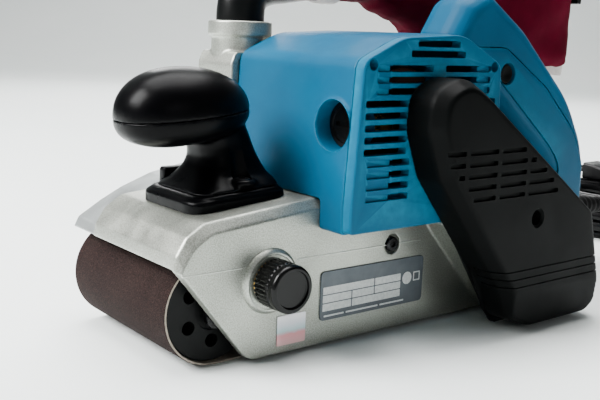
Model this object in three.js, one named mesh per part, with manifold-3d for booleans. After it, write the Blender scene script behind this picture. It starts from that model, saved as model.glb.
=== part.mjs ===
// Handheld belt sander with a dust bag and a coiled mains cord.
// Millimetres, +Z up. +X is the working direction, +Y the operator's left. The origin is the middle of the
// sanding belt's flat run, on its working face.

import * as THREE from 'three';
import { mergeVertices } from 'three/addons/utils/BufferGeometryUtils.js';
import Module from 'manifold-3d';

const wasm = await Module();
wasm.setup();

// ---- Driving dimensions ----

const GAP = 0.3; // between pieces that touch on the real tool
const RUNNING = 0.6; // between the rollers and the belt on them

const BELT_WIDTH = 100;
const BELT_LOOP = 610; // length of the sanding belt, round the loop
const BELT_THICK = 1.2;
const ROLLER_R = 26.6;
const BELT_IN_R = ROLLER_R + RUNNING;
const BELT_OUT_R = BELT_IN_R + BELT_THICK;
const AXLE_Z = BELT_OUT_R;
const AXLE_X = (BELT_LOOP / 2 - Math.PI * (BELT_OUT_R - BELT_THICK / 2)) / 2;
const ROLLER_HALF = 48.5;

const WALL_OUT_Y = 60; // outer face of the frame's left wall
const WALL_IN_Y = 55;
const DECK_RIGHT_Y = -30;
const DECK_Z = 81.3; // top of the frame under the motor housing
const RIM_Y = 70; // face that the lower belt cover seats on

const MOTOR_X = -3;
const MOTOR_Z = 119;
const HOUSING_RIGHT_Y = -22;
const PANEL_IN_Y = 79;
const PANEL_OUT_Y = 85;
const HOUSING_BOTTOM = DECK_Z + GAP;
const SKIRT_BOTTOM = 65.5;

const COVER_OUT_Y = 110;
const COVER_WALL = 2.2;
const BLIND_SLOT_Y = 83.5;
const SMALL_PULLEY_R = 7;
const LARGE_PULLEY_R = 17;
const PULLEY_Y0 = 86.5;
const PULLEY_Y1 = 101.5;
const DRIVE_BELT_THICK = 1.6;
const BELT_LIFT = 0.4; // of the drive belt off its pulleys
const SCREW_X = -64; // the belt cover's screw
const SCREW_Z = 68.8;

const KNOB_X = 82.5;
const KNOB_Z = 42;
const KNOB_R = 12.5;

const SPOUT_X = 35;
const SPOUT_Y = -41.5;
const FAN_R = 32;

const BRUSH_Y = 66;
const BRUSH_Z = MOTOR_Z + 1;

const HANDLE_RIGHT_Y = 12;
const HANDLE_SEAM_Y = 42;
const HANDLE_LEFT_Y = 48.5;
const HANDLE_MID_Y = 30;

const GRIP_Y = 15;

const BAG_Y0 = -66;
const BAG_Y1 = -16;

const CORD_D = 8.7;
const COIL_X = -385;
const COIL_Y = -44;
const COIL_TURNS = [41, 49.7, 58.4, 67.1]; // radii of the four columns of turns
const COIL_LAYERS = 4;
const COIL_TOP = CORD_D * COIL_LAYERS;
const PLUG_X = -425.5;
const PLUG_BACK_Y = -58;

// ---- Materials ----

const finish = (color, roughness, metalness) => new THREE.MeshStandardMaterial({ color, roughness, metalness });
const MATERIALS = {
  casting: finish(0xbcbfb6, 0.45, 0.5),
  guard: finish(0xb9c3c4, 0.4, 0.6),
  steel: finish(0x9a9c9e, 0.3, 0.9),
  teal: finish(0x0583a8, 0.5, 0),
  black: finish(0x141614, 0.55, 0),
  gripBlack: finish(0x0b0b0c, 0.3, 0),
  plate: finish(0x555c62, 0.5, 0),
  sticker: finish(0xe9e2e2, 0.6, 0),
  abrasive: finish(0x4b3734, 0.9, 0),
  rubber: finish(0x1a1a1a, 0.7, 0),
  copper: finish(0xb06a3a, 0.4, 0.9),
  laminations: finish(0x6d6f73, 0.5, 0.8),
  brass: finish(0xb89a4a, 0.35, 0.9),
  cork: finish(0xa07a4c, 0.9, 0),
  carbon: finish(0x222222, 0.8, 0),
  bag: finish(0x4b0014, 0.9, 0),
};

const sander = new THREE.Group();

// ---- Shape helpers ----

const corner = (x, z, r = 0) => ({ x, z, r });

// Moves a closed outline's edges inwards by d, or outwards where d is negative.
function inset(corners, d) {
  const area = corners.reduce((sum, a, i) => {
    const b = corners[(i + 1) % corners.length];
    return sum + a.x * b.z - b.x * a.z;
  }, 0);
  const side = Math.sign(area) * d;
  const moved = [];
  for (let i = 0; i < corners.length; i++) {
    const before = corners[(i + corners.length - 1) % corners.length];
    const here = corners[i];
    const after = corners[(i + 1) % corners.length];
    const u = new THREE.Vector2(here.x - before.x, here.z - before.z).normalize();
    const v = new THREE.Vector2(after.x - here.x, after.z - here.z).normalize();
    const spread = 1 + u.dot(v);
    moved.push(corner(
      here.x - side * (u.y + v.y) / spread,
      here.z + side * (u.x + v.x) / spread,
      here.r > 0 ? Math.max(here.r - d, 0.3) : 0,
    ));
  }
  return moved;
}

// The outline's points, with each corner of radius r drawn as a curve in a few steps.
function rounded(corners, steps = 3) {
  const points = [];
  corners.forEach((here, i) => {
    const at = new THREE.Vector2(here.x, here.z);
    if (here.r <= 0) {
      points.push(at);
      return;
    }
    const before = corners[(i + corners.length - 1) % corners.length];
    const after = corners[(i + 1) % corners.length];
    const from = new THREE.Vector2(before.x, before.z).sub(at);
    const to = new THREE.Vector2(after.x, after.z).sub(at);
    const bend = from.angleTo(to) / 2;
    const reach = Math.min(here.r / Math.tan(bend), from.length() * 0.48, to.length() * 0.48);
    const curve = new THREE.QuadraticBezierCurve(
      at.clone().addScaledVector(from.normalize(), reach),
      at,
      at.clone().addScaledVector(to.normalize(), reach),
    );
    points.push(...curve.getPoints(steps));
  });
  return points;
}

// A closed mesh becomes a solid that can be cut and joined.
function solid(geometry) {
  const bare = geometry.index ? geometry.toNonIndexed() : geometry;
  bare.deleteAttribute('normal');
  bare.deleteAttribute('uv');
  const merged = mergeVertices(bare, 1e-4);
  return new wasm.Manifold(new wasm.Mesh({
    numProp: 3,
    vertProperties: new Float32Array(merged.attributes.position.array),
    triVerts: new Uint32Array(merged.index.array),
  }));
}

// A prism along Y over an outline of x and z points, with optional holes.
function prismY(points, y0, y1, holes = []) {
  const shape = new THREE.Shape(points);
  holes.forEach((hole) => shape.holes.push(new THREE.Path(hole)));
  const geometry = new THREE.ExtrudeGeometry(shape, { depth: y1 - y0, bevelEnabled: false });
  return solid(geometry.rotateX(Math.PI / 2).translate(0, y1, 0));
}

// A prism along Z over an outline of x and y points.
function prismZ(points, z0, z1) {
  const geometry = new THREE.ExtrudeGeometry(new THREE.Shape(points), { depth: z1 - z0, bevelEnabled: false });
  return solid(geometry.translate(0, 0, z0));
}

function block(x0, x1, y0, y1, z0, z1) {
  const geometry = new THREE.BoxGeometry(x1 - x0, y1 - y0, z1 - z0);
  return solid(geometry.translate((x0 + x1) / 2, (y0 + y1) / 2, (z0 + z1) / 2));
}

function rodY(x, z, r, y0, y1, sides = 24, rEnd = r) {
  return solid(new THREE.CylinderGeometry(rEnd, r, y1 - y0, sides).translate(x, (y0 + y1) / 2, z));
}

function rodX(y, z, r, x0, x1, sides = 24) {
  return solid(new THREE.CylinderGeometry(r, r, x1 - x0, sides).rotateZ(Math.PI / 2)
    .translate((x0 + x1) / 2, y, z));
}

function rodZ(x, y, r, z0, z1, sides = 24, rTop = r) {
  return solid(new THREE.CylinderGeometry(rTop, r, z1 - z0, sides).rotateX(Math.PI / 2)
    .translate(x, y, (z0 + z1) / 2));
}

// A solid through rings of 3-D points, every ring with as many points as the first, capped at both ends.
function loft(rings) {
  const count = rings[0].length;
  const flat = rings.flat().flatMap((p) => [p.x, p.y, p.z]);
  const faces = [];
  for (let r = 0; r + 1 < rings.length; r++) {
    for (let i = 0; i < count; i++) {
      const j = (i + 1) % count;
      const a = r * count;
      const b = a + count;
      faces.push(a + i, a + j, b + j, a + i, b + j, b + i);
    }
  }
  const last = (rings.length - 1) * count;
  for (const [base, points, flip] of [[0, rings[0], true], [last, rings.at(-1), false]]) {
    const normal = new THREE.Vector3();
    points.forEach((p, i) => normal.add(p.clone().cross(points[(i + 1) % count])));
    normal.normalize();
    const side = Math.abs(normal.z) < 0.9 ? new THREE.Vector3(0, 0, 1) : new THREE.Vector3(1, 0, 0);
    const u = side.clone().cross(normal).normalize();
    const v = normal.clone().cross(u);
    const outline = points.map((p) => new THREE.Vector2(p.dot(u), p.dot(v)));
    for (const [a, b, c] of THREE.ShapeUtils.triangulateShape(outline, [])) {
      faces.push(...(flip ? [base + c, base + b, base + a] : [base + a, base + b, base + c]));
    }
  }
  if (volume(flat, faces) < 0) faces.reverse();
  const geometry = new THREE.BufferGeometry();
  geometry.setAttribute('position', new THREE.Float32BufferAttribute(flat, 3));
  geometry.setIndex(faces);
  return solid(geometry);
}

// Six times the volume that the faces close in: negative where they point inwards.
function volume(flat, faces) {
  const at = (i) => new THREE.Vector3(flat[3 * i], flat[3 * i + 1], flat[3 * i + 2]);
  let sum = 0;
  for (let i = 0; i < faces.length; i += 3) {
    sum += at(faces[i]).dot(at(faces[i + 1]).cross(at(faces[i + 2])));
  }
  return sum;
}

const ringXZ = (points, y) => points.map((p) => new THREE.Vector3(p.x, y, p.y));

// A rounded rectangle at height z, for lofts along Z.
function ringXY(x0, x1, y0, y1, r, z) {
  const box = [corner(x0, y0, r), corner(x1, y0, r), corner(x1, y1, r), corner(x0, y1, r)];
  return rounded(box, 4).map((p) => new THREE.Vector3(p.x, p.y, z));
}

// A tube along a smooth path of [x, y, z] points.
function tube(points, r, steps, sides = 10) {
  const curve = new THREE.CatmullRomCurve3(points.map((p) => new THREE.Vector3(...p)));
  const section = [];
  for (let i = 0; i < sides; i++) {
    const a = (2 * Math.PI * i) / sides;
    section.push(new THREE.Vector2(r * Math.cos(a), r * Math.sin(a)));
  }
  const shape = new THREE.Shape(section);
  return solid(new THREE.ExtrudeGeometry(shape, { steps, extrudePath: curve, bevelEnabled: false }));
}

function piece(name, body, material) {
  const mesh = body.getMesh();
  const geometry = new THREE.BufferGeometry();
  geometry.setAttribute('position', new THREE.BufferAttribute(new Float32Array(mesh.vertProperties), 3));
  geometry.setIndex(new THREE.BufferAttribute(new Uint32Array(mesh.triVerts), 1));
  geometry.computeVertexNormals();
  const node = new THREE.Mesh(geometry, material.clone());
  node.name = name;
  sander.add(node);
}

// ---- Outlines ----

// The frame's side: over the front of the belt, along the deck, down behind the rear roller.
const FRAME_TOP = [
  corner(136, 53),
  corner(134.5, 60, 4),
  corner(129, 68.5, 6),
  corner(119, 74.8, 8),
  corner(54, DECK_Z),
  corner(-58.5, DECK_Z),
  corner(-62, 66),
  corner(-116, 64, 10),
  corner(-133, 56, 8),
  corner(-143, 42, 8),
  corner(-145, 26),
];
const FRAME_BOTTOM = [
  corner(-142, 12, 6),
  corner(-128, 2, 6),
  corner(95, 2, 12),
];
const HOUSING = [
  corner(53, HOUSING_BOTTOM),
  corner(48.6, 153, 9),
  corner(22, 165, 30),
  corner(-22, 167.5, 30),
  corner(-54, 152, 9),
  corner(-58, HOUSING_BOTTOM),
];
const COVER_FACE = [
  corner(15.5, 119, 12),
  corner(14.5, 136, 9),
  corner(-3, 144, 12),
  corner(-20, 134.5, 8),
  corner(-117, 68, 7),
  corner(-129.5, 25),
  corner(-131, 10, 6),
  corner(-125, 6, 6),
  corner(-74, 6, 12),
  corner(-54, 13, 8),
  corner(-46.3, 30.4),
  corner(6, 95, 10),
];
const HANDLE = [
  corner(-57, 168),
  corner(-69, 187, 10),
  corner(-88, 196, 9),
  corner(-126, 173, 20),
  corner(-178, 129, 30),
  corner(-201.5, 92, 26),
  corner(-201.5, 40, 12),
  corner(-147.5, 44),
  corner(-145.5, 52, 6),
  corner(-117, 66.6, 8),
  corner(-62.5, 68.5),
  corner(-61, DECK_Z + GAP),
  corner(-57, DECK_Z + GAP),
];
const LOOP_HOLE = [corner(-76, 147, 9), corner(-164, 79, 9), corner(-76, 83, 9)];

// Directions along the handle's main bar, from its top end to its rear end, and out of it into the hand hole.
const BAR_ALONG = new THREE.Vector2(LOOP_HOLE[1].x - LOOP_HOLE[0].x, LOOP_HOLE[1].z - LOOP_HOLE[0].z)
  .normalize();
const BAR_OUT = new THREE.Vector2(-BAR_ALONG.y, BAR_ALONG.x);
const onBar = (along, out) => new THREE.Vector2(LOOP_HOLE[0].x, LOOP_HOLE[0].z)
  .addScaledVector(BAR_ALONG, along).addScaledVector(BAR_OUT, out);

// The lock button's place along the bar and out of it.
const LOCK_PLACE = [25.5, -16.5];

// ---- Frame and sanding belt ----

// A belt of one thickness round a front and a rear pulley, both along Y.
function loopAround(axles, frontR, rearR, thick, y0, y1, steps = 20) {
  const { front, rear } = axles;
  const way = Math.atan2(front.z - rear.z, front.x - rear.x);
  const length = Math.hypot(front.x - rear.x, front.z - rear.z);
  const lean = Math.acos((frontR - rearR) / length);
  const arc = (centre, r, from, sweep) => {
    const points = [];
    for (let i = 0; i <= steps; i++) {
      const a = from + (sweep * i) / steps;
      points.push(new THREE.Vector2(centre.x + r * Math.cos(a), centre.z + r * Math.sin(a)));
    }
    return points;
  };
  const outline = (grow) => [
    ...arc(front, frontR + grow, way - lean, 2 * lean),
    ...arc(rear, rearR + grow, way + lean, 2 * Math.PI - 2 * lean),
  ];
  return prismY(outline(thick), y0, y1, [outline(0)]);
}

function makeSandingBelt() {
  const axles = { front: { x: AXLE_X, z: AXLE_Z }, rear: { x: -AXLE_X, z: AXLE_Z } };
  const belt = loopAround(axles, BELT_IN_R, BELT_IN_R, BELT_THICK, -BELT_WIDTH / 2, BELT_WIDTH / 2);
  piece('sanding_belt', belt, MATERIALS.abrasive);
}

function makeFrame() {
  const outer = [...FRAME_TOP, ...FRAME_BOTTOM];
  // The top edge slopes away over the wall's thickness, apart from its front tip.
  const bevelled = outer.map((c, i) => {
    if (i >= FRAME_TOP.length) return c;
    return corner(c.x * 0.985, c.z - (i === 0 ? 1 : 5), c.r);
  });
  const wall = loft([
    ringXZ(rounded(outer), WALL_IN_Y),
    ringXZ(rounded(outer), WALL_IN_Y + 0.5),
    ringXZ(rounded(bevelled), WALL_OUT_Y),
  ]);
  const skinThick = 3.6;
  const closed = FRAME_TOP.concat(corner(-145, 0), corner(136, 0));
  const under = inset(closed, skinThick).slice(1, FRAME_TOP.length - 1);
  const skin = [...FRAME_TOP, corner(-145 + skinThick, 26), ...under.reverse(), corner(136 - skinThick, 53)];
  const deck = prismY(rounded(skin), DECK_RIGHT_Y, WALL_IN_Y + 0.2);
  const rim = loft([
    ringXZ(rounded(inset(rimOutline(), -3)), WALL_OUT_Y - 1),
    ringXZ(rounded(rimOutline()), RIM_Y),
  ]);
  const platform = block(-74, 70, -50, WALL_IN_Y + 1, 5.3, 11);
  const guide = block(14, 50, -14, WALL_IN_Y + 1, 10, 44).subtract(block(13, 51, 16, WALL_IN_Y, 14, 45));
  const rib = block(40, 46, -46, -13, 10, 46);
  const lugs = block(44, 62, -51, -32, 10, 16).add(block(40, 62, -51, -32, 41, 46));
  const rearArm = prismY(rounded([
    corner(-70, 18), corner(-70, 38), corner(-119, 39, 10), corner(-119, 18, 10),
  ]), -54, -50.6);
  const rearRib = block(-76, -70, -54, WALL_IN_Y + 1, 5.3, 38);
  let frame = wall.add(deck).add(rim).add(platform).add(guide).add(rib).add(lugs).add(rearArm).add(rearRib);
  frame = frame.add(rodY(KNOB_X, KNOB_Z, 15, WALL_OUT_Y - 1, WALL_OUT_Y + 2, 32));
  const cuts = [
    rodX(0, AXLE_Z, 7.3, 10, 60),
    rodX(0, AXLE_Z, 11.5, 30, 60),
    rodZ(54, -44, 3.3, 8, 48, 16),
    rodY(-AXLE_X, AXLE_Z, 13.3, 57, 75),
    rodY(-AXLE_X, AXLE_Z, 8, 50, 75),
    rodY(-AXLE_X, AXLE_Z, 9.3, -55, -50),
    rodY(KNOB_X, KNOB_Z, 3.5, 50, 65, 16),
    rodY(-2, 51, 5.5, 57.5, 61, 20),
    rodY(-2, 51, 2.3, 50, 61, 12),
    rodY(SCREW_X, SCREW_Z, 2.3, 50, 75, 12),
    block(-62.5, 54, DECK_RIGHT_Y - 1, 20, DECK_Z, DECK_Z + 5),
    block(-75.5, 75.5, -51, 50, 0, 5.3),
  ];
  cuts.forEach((cut) => { frame = frame.subtract(cut); });
  frame = frame.intersect(block(-200, 200, -100, 100, 2, 100));
  piece('frame_casting', frame, MATERIALS.casting);
}

function rimOutline() {
  return [corner(-30, 62), corner(-84, 2, 3), corner(-127, 2, 6), corner(-138, 14, 8), corner(-137, 46, 8),
    corner(-116, 62, 8)];
}

function makeRightGuard() {
  const top = [
    corner(134.3, 53), corner(131.5, 58.5, 4), corner(118, 66.8, 8), corner(105.4, 73.3, 10), corner(86, 80.6, 10),
    corner(62.5, 85.3),
  ];
  const under = [
    corner(62.5, 82), corner(85, 77.4, 10), corner(104, 70.2, 10), corner(116.3, 63.9, 8), corner(128.8, 56, 4),
    corner(131.3, 52),
  ];
  piece('right_guard', prismY(rounded([...top, ...under]), -58, DECK_RIGHT_Y - GAP), MATERIALS.guard);
}

function makePlaten() {
  piece('platen_pad', block(-74, 74, -48, 48, 2.9, 5), MATERIALS.cork);
  piece('platen_plate', block(-75, 75, -49, 49, 1.55, 2.6), MATERIALS.steel);
}

function makeNameplate() {
  const plate = [corner(-26.8, 15, 3), corner(49.6, 15, 3), corner(49.6, 42, 3), corner(-26.8, 42, 3)];
  piece('nameplate', prismY(rounded(plate), WALL_OUT_Y + GAP, WALL_OUT_Y + 0.9), MATERIALS.plate);
  piece('sticker', block(57.5, 76.5, WALL_OUT_Y + GAP, WALL_OUT_Y + 0.6, 6.7, 24), MATERIALS.sticker);
  const screw = rodY(-2, 51, 4.2, 58, 60.6, 20).add(rodY(-2, 51, 2, 50, 58.5, 12));
  const hex = rodY(-2, 51, 2, 59.3, 61, 6);
  piece('frame_screw', screw.subtract(hex), MATERIALS.black);
}

// ---- Rollers, belt tension and tracking ----

function makeDriveRoller() {
  const shaft = rodY(-AXLE_X, AXLE_Z, 6, -53.7, 104);
  const core = rodY(-AXLE_X, AXLE_Z, 24.3, -ROLLER_HALF, ROLLER_HALF, 40);
  piece('drive_roller', core.add(shaft), MATERIALS.steel);
  const sleeve = rodY(-AXLE_X, AXLE_Z, ROLLER_R, -ROLLER_HALF, ROLLER_HALF, 40)
    .subtract(rodY(-AXLE_X, AXLE_Z, 24.8, -60, 60, 40));
  piece('roller_sleeve', sleeve, MATERIALS.rubber);
  piece('driven_pulley', ribbedPulley(-AXLE_X, AXLE_Z, LARGE_PULLEY_R, 6.3), MATERIALS.steel);
  piece('roller_bearing_left', bearing(-AXLE_X, AXLE_Z, 13, 6.3, 57.5, 65.5), MATERIALS.steel);
  piece('roller_bearing_right', bearing(-AXLE_X, AXLE_Z, 9, 6.3, -53.9, -50.8), MATERIALS.steel);
}

function bearing(x, z, outerR, innerR, y0, y1) {
  return rodY(x, z, outerR, y0, y1, 20).subtract(rodY(x, z, innerR, y0 - 1, y1 + 1, 16));
}

function ribbedPulley(x, z, r, boreR) {
  const flange = 1.2;
  let pulley = rodY(x, z, r, PULLEY_Y0, PULLEY_Y1, 24);
  pulley = pulley.add(rodY(x, z, r + 1, PULLEY_Y0, PULLEY_Y0 + flange, 24));
  return pulley.subtract(rodY(x, z, boreR, PULLEY_Y0 - 1, PULLEY_Y1 + 1, 16));
}

function makeFrontRoller() {
  let roller = rodY(AXLE_X, AXLE_Z, ROLLER_R, -ROLLER_HALF, ROLLER_HALF, 40);
  roller = roller.subtract(rodY(AXLE_X, AXLE_Z, 5.3, -60, 60));
  const holes = 6;
  const [holeRing, holeR] = [15.9, 3.6];
  for (let i = 0; i < holes; i++) {
    const a = (2 * Math.PI * i) / holes - THREE.MathUtils.degToRad(28);
    const [x, z] = [AXLE_X + holeRing * Math.cos(a), AXLE_Z + holeRing * Math.sin(a)];
    roller = roller.subtract(rodY(x, z, holeR, -60, 60, 14));
  }
  piece('front_roller', roller, MATERIALS.black);
}

function makeYoke() {
  const rear = 73.5;
  const bar = block(rear, 80, -54, 54, 20, 37);
  const arm = (y0, y1) => prismY(rounded([
    corner(rear, 20), corner(AXLE_X + 7, 20, 7), corner(AXLE_X + 7, 37, 7), corner(rear, 37),
  ]), y0, y1);
  let yoke = bar.add(arm(-54, -50.9)).add(arm(50.9, 54)).add(block(63, rear + 1, -7, 7, 31.5, 36));
  yoke = yoke.subtract(rodY(AXLE_X, AXLE_Z, 5.3, -60, 60)).subtract(rodZ(68, 0, 3.3, 30, 40, 16));
  piece('yoke', yoke, MATERIALS.steel);
  piece('front_axle', rodY(AXLE_X, AXLE_Z, 5, -54, 54), MATERIALS.steel);
}

function makeTensioner() {
  const stem = rodX(0, AXLE_Z, 7, 18, 62).add(block(61.8, 71, -8, 8, 21, 31)).add(rodZ(68, 0, 3, 30, 36.5, 16));
  piece('tension_stem', stem, MATERIALS.steel);
  const turns = 5;
  const steps = turns * 10;
  const path = [];
  for (let i = 0; i <= steps; i++) {
    const a = (2 * Math.PI * turns * i) / steps;
    path.push([38.5 + (21.5 * i) / steps, 9.3 * Math.cos(a), AXLE_Z + 9.3 * Math.sin(a)]);
  }
  piece('tension_spring', tube(path, 1, steps, 5), MATERIALS.steel);
  const hub = rodZ(54, -44, 7, 16.4, 40.6, 24).subtract(rodZ(54, -44, 3.3, 15, 42, 16));
  const bar = block(-6, 54, -54, -49.5, 18, 39).subtract(rodZ(54, -44, 5, 15, 42, 16));
  piece('tension_lever', hub.add(bar), MATERIALS.steel);
  piece('lever_pin', rodZ(54, -44, 3, 8, 47.5, 16), MATERIALS.steel);
}

function makeTrackingKnob() {
  const ribs = 20;
  const outline = [];
  for (let i = 0; i < ribs * 2; i++) {
    const r = i % 2 ? KNOB_R - 0.7 : KNOB_R;
    const a = (Math.PI * i) / ribs;
    outline.push(new THREE.Vector2(KNOB_X + r * Math.cos(a), KNOB_Z + r * Math.sin(a)));
  }
  let knob = prismY(outline, WALL_OUT_Y + 2.4, 76.5)
    .add(rodY(KNOB_X, KNOB_Z, KNOB_R - 0.2, 76, 79.5, 32, KNOB_R - 1.2));
  knob = knob.subtract(rodY(KNOB_X, KNOB_Z, KNOB_R - 3, 78, 81, 32));
  knob = knob.add(rodY(KNOB_X, KNOB_Z, 3, 54.8, 70, 16));
  piece('tracking_knob', knob, MATERIALS.black);
}

// ---- Motor ----

const shaftRod = (r, y0, y1, sides = 20) => rodY(MOTOR_X, MOTOR_Z, r, y0, y1, sides);
const shaftRing = (outerR, innerR, y0, y1, sides = 24) => shaftRod(outerR, y0, y1, sides)
  .subtract(shaftRod(innerR, y0 - 1, y1 + 1, 20));

// The housing's outline, carried down past the deck to a lower edge.
function skirted(low) {
  const [front, rear] = [HOUSING[0], HOUSING.at(-1)];
  return [corner(front.x, low, 3), ...HOUSING, corner(rear.x, low, 3)];
}

function makeHousing() {
  let housing = prismY(rounded(HOUSING, 5), HOUSING_RIGHT_Y, WALL_OUT_Y + 2)
    .add(prismY(rounded(skirted(SKIRT_BOTTOM), 5), WALL_OUT_Y + GAP, PANEL_IN_Y - GAP));
  const inner = rounded(inset(HOUSING, 3.2), 5);
  housing = housing.subtract(prismY(inner, HOUSING_RIGHT_Y - 1, PANEL_IN_Y + 1));
  for (const [boss0, boss1, bore0, bore1] of [[34, 52, 37, 60], [-57, -40, -62, -43]]) {
    const boss = rodX(BRUSH_Y, BRUSH_Z, 15.5, boss0, boss1, 28)
      .intersect(block(boss0, boss1, 0, PANEL_IN_Y - GAP, 0, 200));
    housing = housing.add(boss).subtract(rodX(BRUSH_Y, BRUSH_Z, 12.6, bore0, bore1, 28))
      .subtract(rodX(BRUSH_Y, BRUSH_Z, 5, boss0 - 5, boss1 + 5, 16));
  }
  piece('motor_housing', housing, MATERIALS.teal);
}

function makeEndCover() {
  let cover = prismY(rounded(inset(skirted(SKIRT_BOTTOM + 1), 0.4), 5), PANEL_IN_Y, PANEL_OUT_Y);
  cover = cover.add(shaftRod(14, 75, PANEL_IN_Y + 1));
  cover = cover.subtract(shaftRod(11.3, 74, 83.8, 28)).subtract(shaftRod(6.5, 74, 90));
  const slot = (x0, x1, z, deep = PANEL_IN_Y - 1) => block(x0, x1, deep, PANEL_OUT_Y + 1, z - 1.75, z + 1.75);
  const through = [[-19, 12.5, 162], [-23.5, 17, 156.7]];
  const blind = [];
  for (let row = 0; row < 3; row++) {
    const z = 149.3 - row * 5.7;
    through.push([0.2, 30.2, z], [-35, -8.8, z]);
    blind.push([30.2, 39.6, z], [-44.6, -35, z]);
  }
  for (let row = 0; row < 5; row++) {
    const z = 131.8 - row * 6;
    through.push([17, 46.3, z], [-50, -29, z]);
  }
  for (let row = 0; row < 4; row++) {
    const z = 102 - row * 5.9;
    through.push([14, 27, z]);
    blind.push([27, 43.7, z], [-46, -30, z]);
  }
  for (const [x0, x1, z] of through) cover = cover.subtract(slot(x0, x1, z));
  for (const [x0, x1, z] of blind) cover = cover.subtract(slot(x0, x1, z, BLIND_SLOT_Y));
  for (const [x, z] of [[42.4, 151], [-47.6, 150.4]]) cover = cover.subtract(rodY(x, z, 2.6, 70, 90, 16));
  cover = cover.subtract(rodY(SCREW_X, SCREW_Z, 9, 70, 90, 20));
  piece('motor_end_cover', cover, MATERIALS.teal);
}

function makeMotor() {
  piece('stator_core', shaftRing(32.5, 21.4, 12, 52), MATERIALS.laminations);
  const fieldWinding = shaftRing(30, 19.4, 52.4, 59.5).add(shaftRing(30, 19.4, 4.5, 11.6))
    .add(shaftRing(21.1, 19.4, 4.5, 59.5));
  piece('field_winding', fieldWinding, MATERIALS.copper);
  const shaft = shaftRod(5, -12, 84.5).add(shaftRod(4, -40.5, 104));
  piece('motor_shaft', shaft, MATERIALS.steel);
  piece('armature_core', shaftRing(18.6, 8.3, 13, 51), MATERIALS.laminations);
  const armatureWinding = shaftRing(16, 5.3, 51.4, 58, 24).add(shaftRing(16, 5.3, 5.5, 12.6, 24))
    .add(shaftRing(8, 5.3, 5.5, 58, 24));
  piece('armature_winding', armatureWinding, MATERIALS.copper);
  piece('commutator', shaftRing(13, 5.3, 59.5, 73), MATERIALS.copper);
  piece('motor_pulley', ribbedPulley(MOTOR_X, MOTOR_Z, SMALL_PULLEY_R, 4.3), MATERIALS.steel);
  piece('motor_bearing_left', bearing(MOTOR_X, MOTOR_Z, 11, 5.3, 76, 83.4), MATERIALS.steel);
  piece('motor_bearing_right', bearing(MOTOR_X, MOTOR_Z, 11, 4.3, -19.6, -12.6), MATERIALS.steel);
  makeFan();
  for (const [name, side] of [['front', 1], ['rear', -1]]) makeBrush(name, side);
}

function makeFan() {
  let fan = shaftRod(8, -39.5, -27, 24).add(shaftRod(FAN_R, -29, -27, 40));
  const blades = 9;
  for (let i = 0; i < blades; i++) {
    const blade = new THREE.BoxGeometry(FAN_R - 8, 10, 1.8);
    blade.translate((FAN_R + 7) / 2, -33.5, 0).rotateY((2 * Math.PI * i) / blades);
    fan = fan.add(solid(blade.translate(MOTOR_X, 0, MOTOR_Z)));
  }
  piece('fan', fan.subtract(shaftRod(4.3, -45, -20)), MATERIALS.black);
}

function makeBrush(name, side) {
  const span = (a, b) => (side > 0 ? [a, b] : [2 * MOTOR_X - b, 2 * MOTOR_X - a]);
  const bar = ([x0, x1], half) => block(x0, x1, BRUSH_Y - half, BRUSH_Y + half, BRUSH_Z - half, BRUSH_Z + half);
  piece(`carbon_brush_${name}`, bar(span(11, 30), 2.5), MATERIALS.carbon);
  const sleeve = rodX(BRUSH_Y, BRUSH_Z, 4.7, ...span(15, 37.5), 16).add(bar(span(15, 32.5), 4.8));
  piece(`brush_holder_${name}`, sleeve.subtract(bar(span(5, 45), 2.8)), MATERIALS.brass);
  const face = side > 0 ? 43 : -49;
  const back = face - side * 4.8;
  const cap = rodX(BRUSH_Y, BRUSH_Z, 12.2, Math.min(face, back), Math.max(face, back), 28);
  const slot = block(face - 1, face + 1, 58, 76, BRUSH_Z - 1.2, BRUSH_Z + 1.2);
  piece(`brush_cap_${name}`, cap.subtract(slot), MATERIALS.black);
}

// ---- Fan case, dust duct, elbow and bag ----

function makeFanCase() {
  const floor = HOUSING_BOTTOM;
  const scroll = (r, low, y0, y1) => shaftRod(r, y0, y1, 40).intersect(block(-60, 60, y0, y1, low, 180));
  let fanCase = scroll(45, floor, -44, HOUSING_RIGHT_Y - GAP);
  const tower = [
    corner(18, 108, 3), corner(53, 108, 5), corner(53.5, 146, 6), corner(50.5, 153, 3), corner(18, 153, 3),
  ];
  fanCase = fanCase.add(prismY(rounded(tower), -58.5, HOUSING_RIGHT_Y - GAP));
  fanCase = fanCase.add(rodZ(SPOUT_X, SPOUT_Y, 17, 150, 163, 32))
    .add(rodZ(SPOUT_X, SPOUT_Y, 19, 161.8, 169.6, 32));
  fanCase = fanCase.add(shaftRod(14, -23, -11));
  const tunnel = [
    corner(21, 111), corner(50, 111, 4), corner(50.4, 143, 6), corner(46, 149.8), corner(21, 149.8),
  ];
  const cuts = [
    scroll(42, floor + 3, -41, -25.4),
    prismY(rounded(tunnel), -55.6, -25.4),
    rodZ(SPOUT_X, SPOUT_Y, 15.3, 145, 171, 32),
    shaftRod(15, -45, -40),
    shaftRod(11.3, -20, -10, 28),
    shaftRod(6, -27, -10),
  ];
  cuts.forEach((cut) => { fanCase = fanCase.subtract(cut); });
  piece('fan_case', fanCase, MATERIALS.guard);
}

const DUCT = [
  corner(17, 119, 16), corner(12, 100, 10), corner(-60, 59.5, 6), corner(-122, 59.5, 4), corner(-122, 78, 10),
  corner(-80, 104, 14), corner(-24, 132, 12), corner(-6, 140, 12), corner(14, 134, 12),
];

function makeDustDuct() {
  const duct = prismY(rounded(DUCT), -57.8, -44.3)
    .subtract(prismY(rounded(inset(DUCT, 2.4)), -55.4, -44))
    .subtract(block(-118, -96, -55.4, -46, 55, 63));
  piece('dust_duct', duct, MATERIALS.guard);
}

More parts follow.
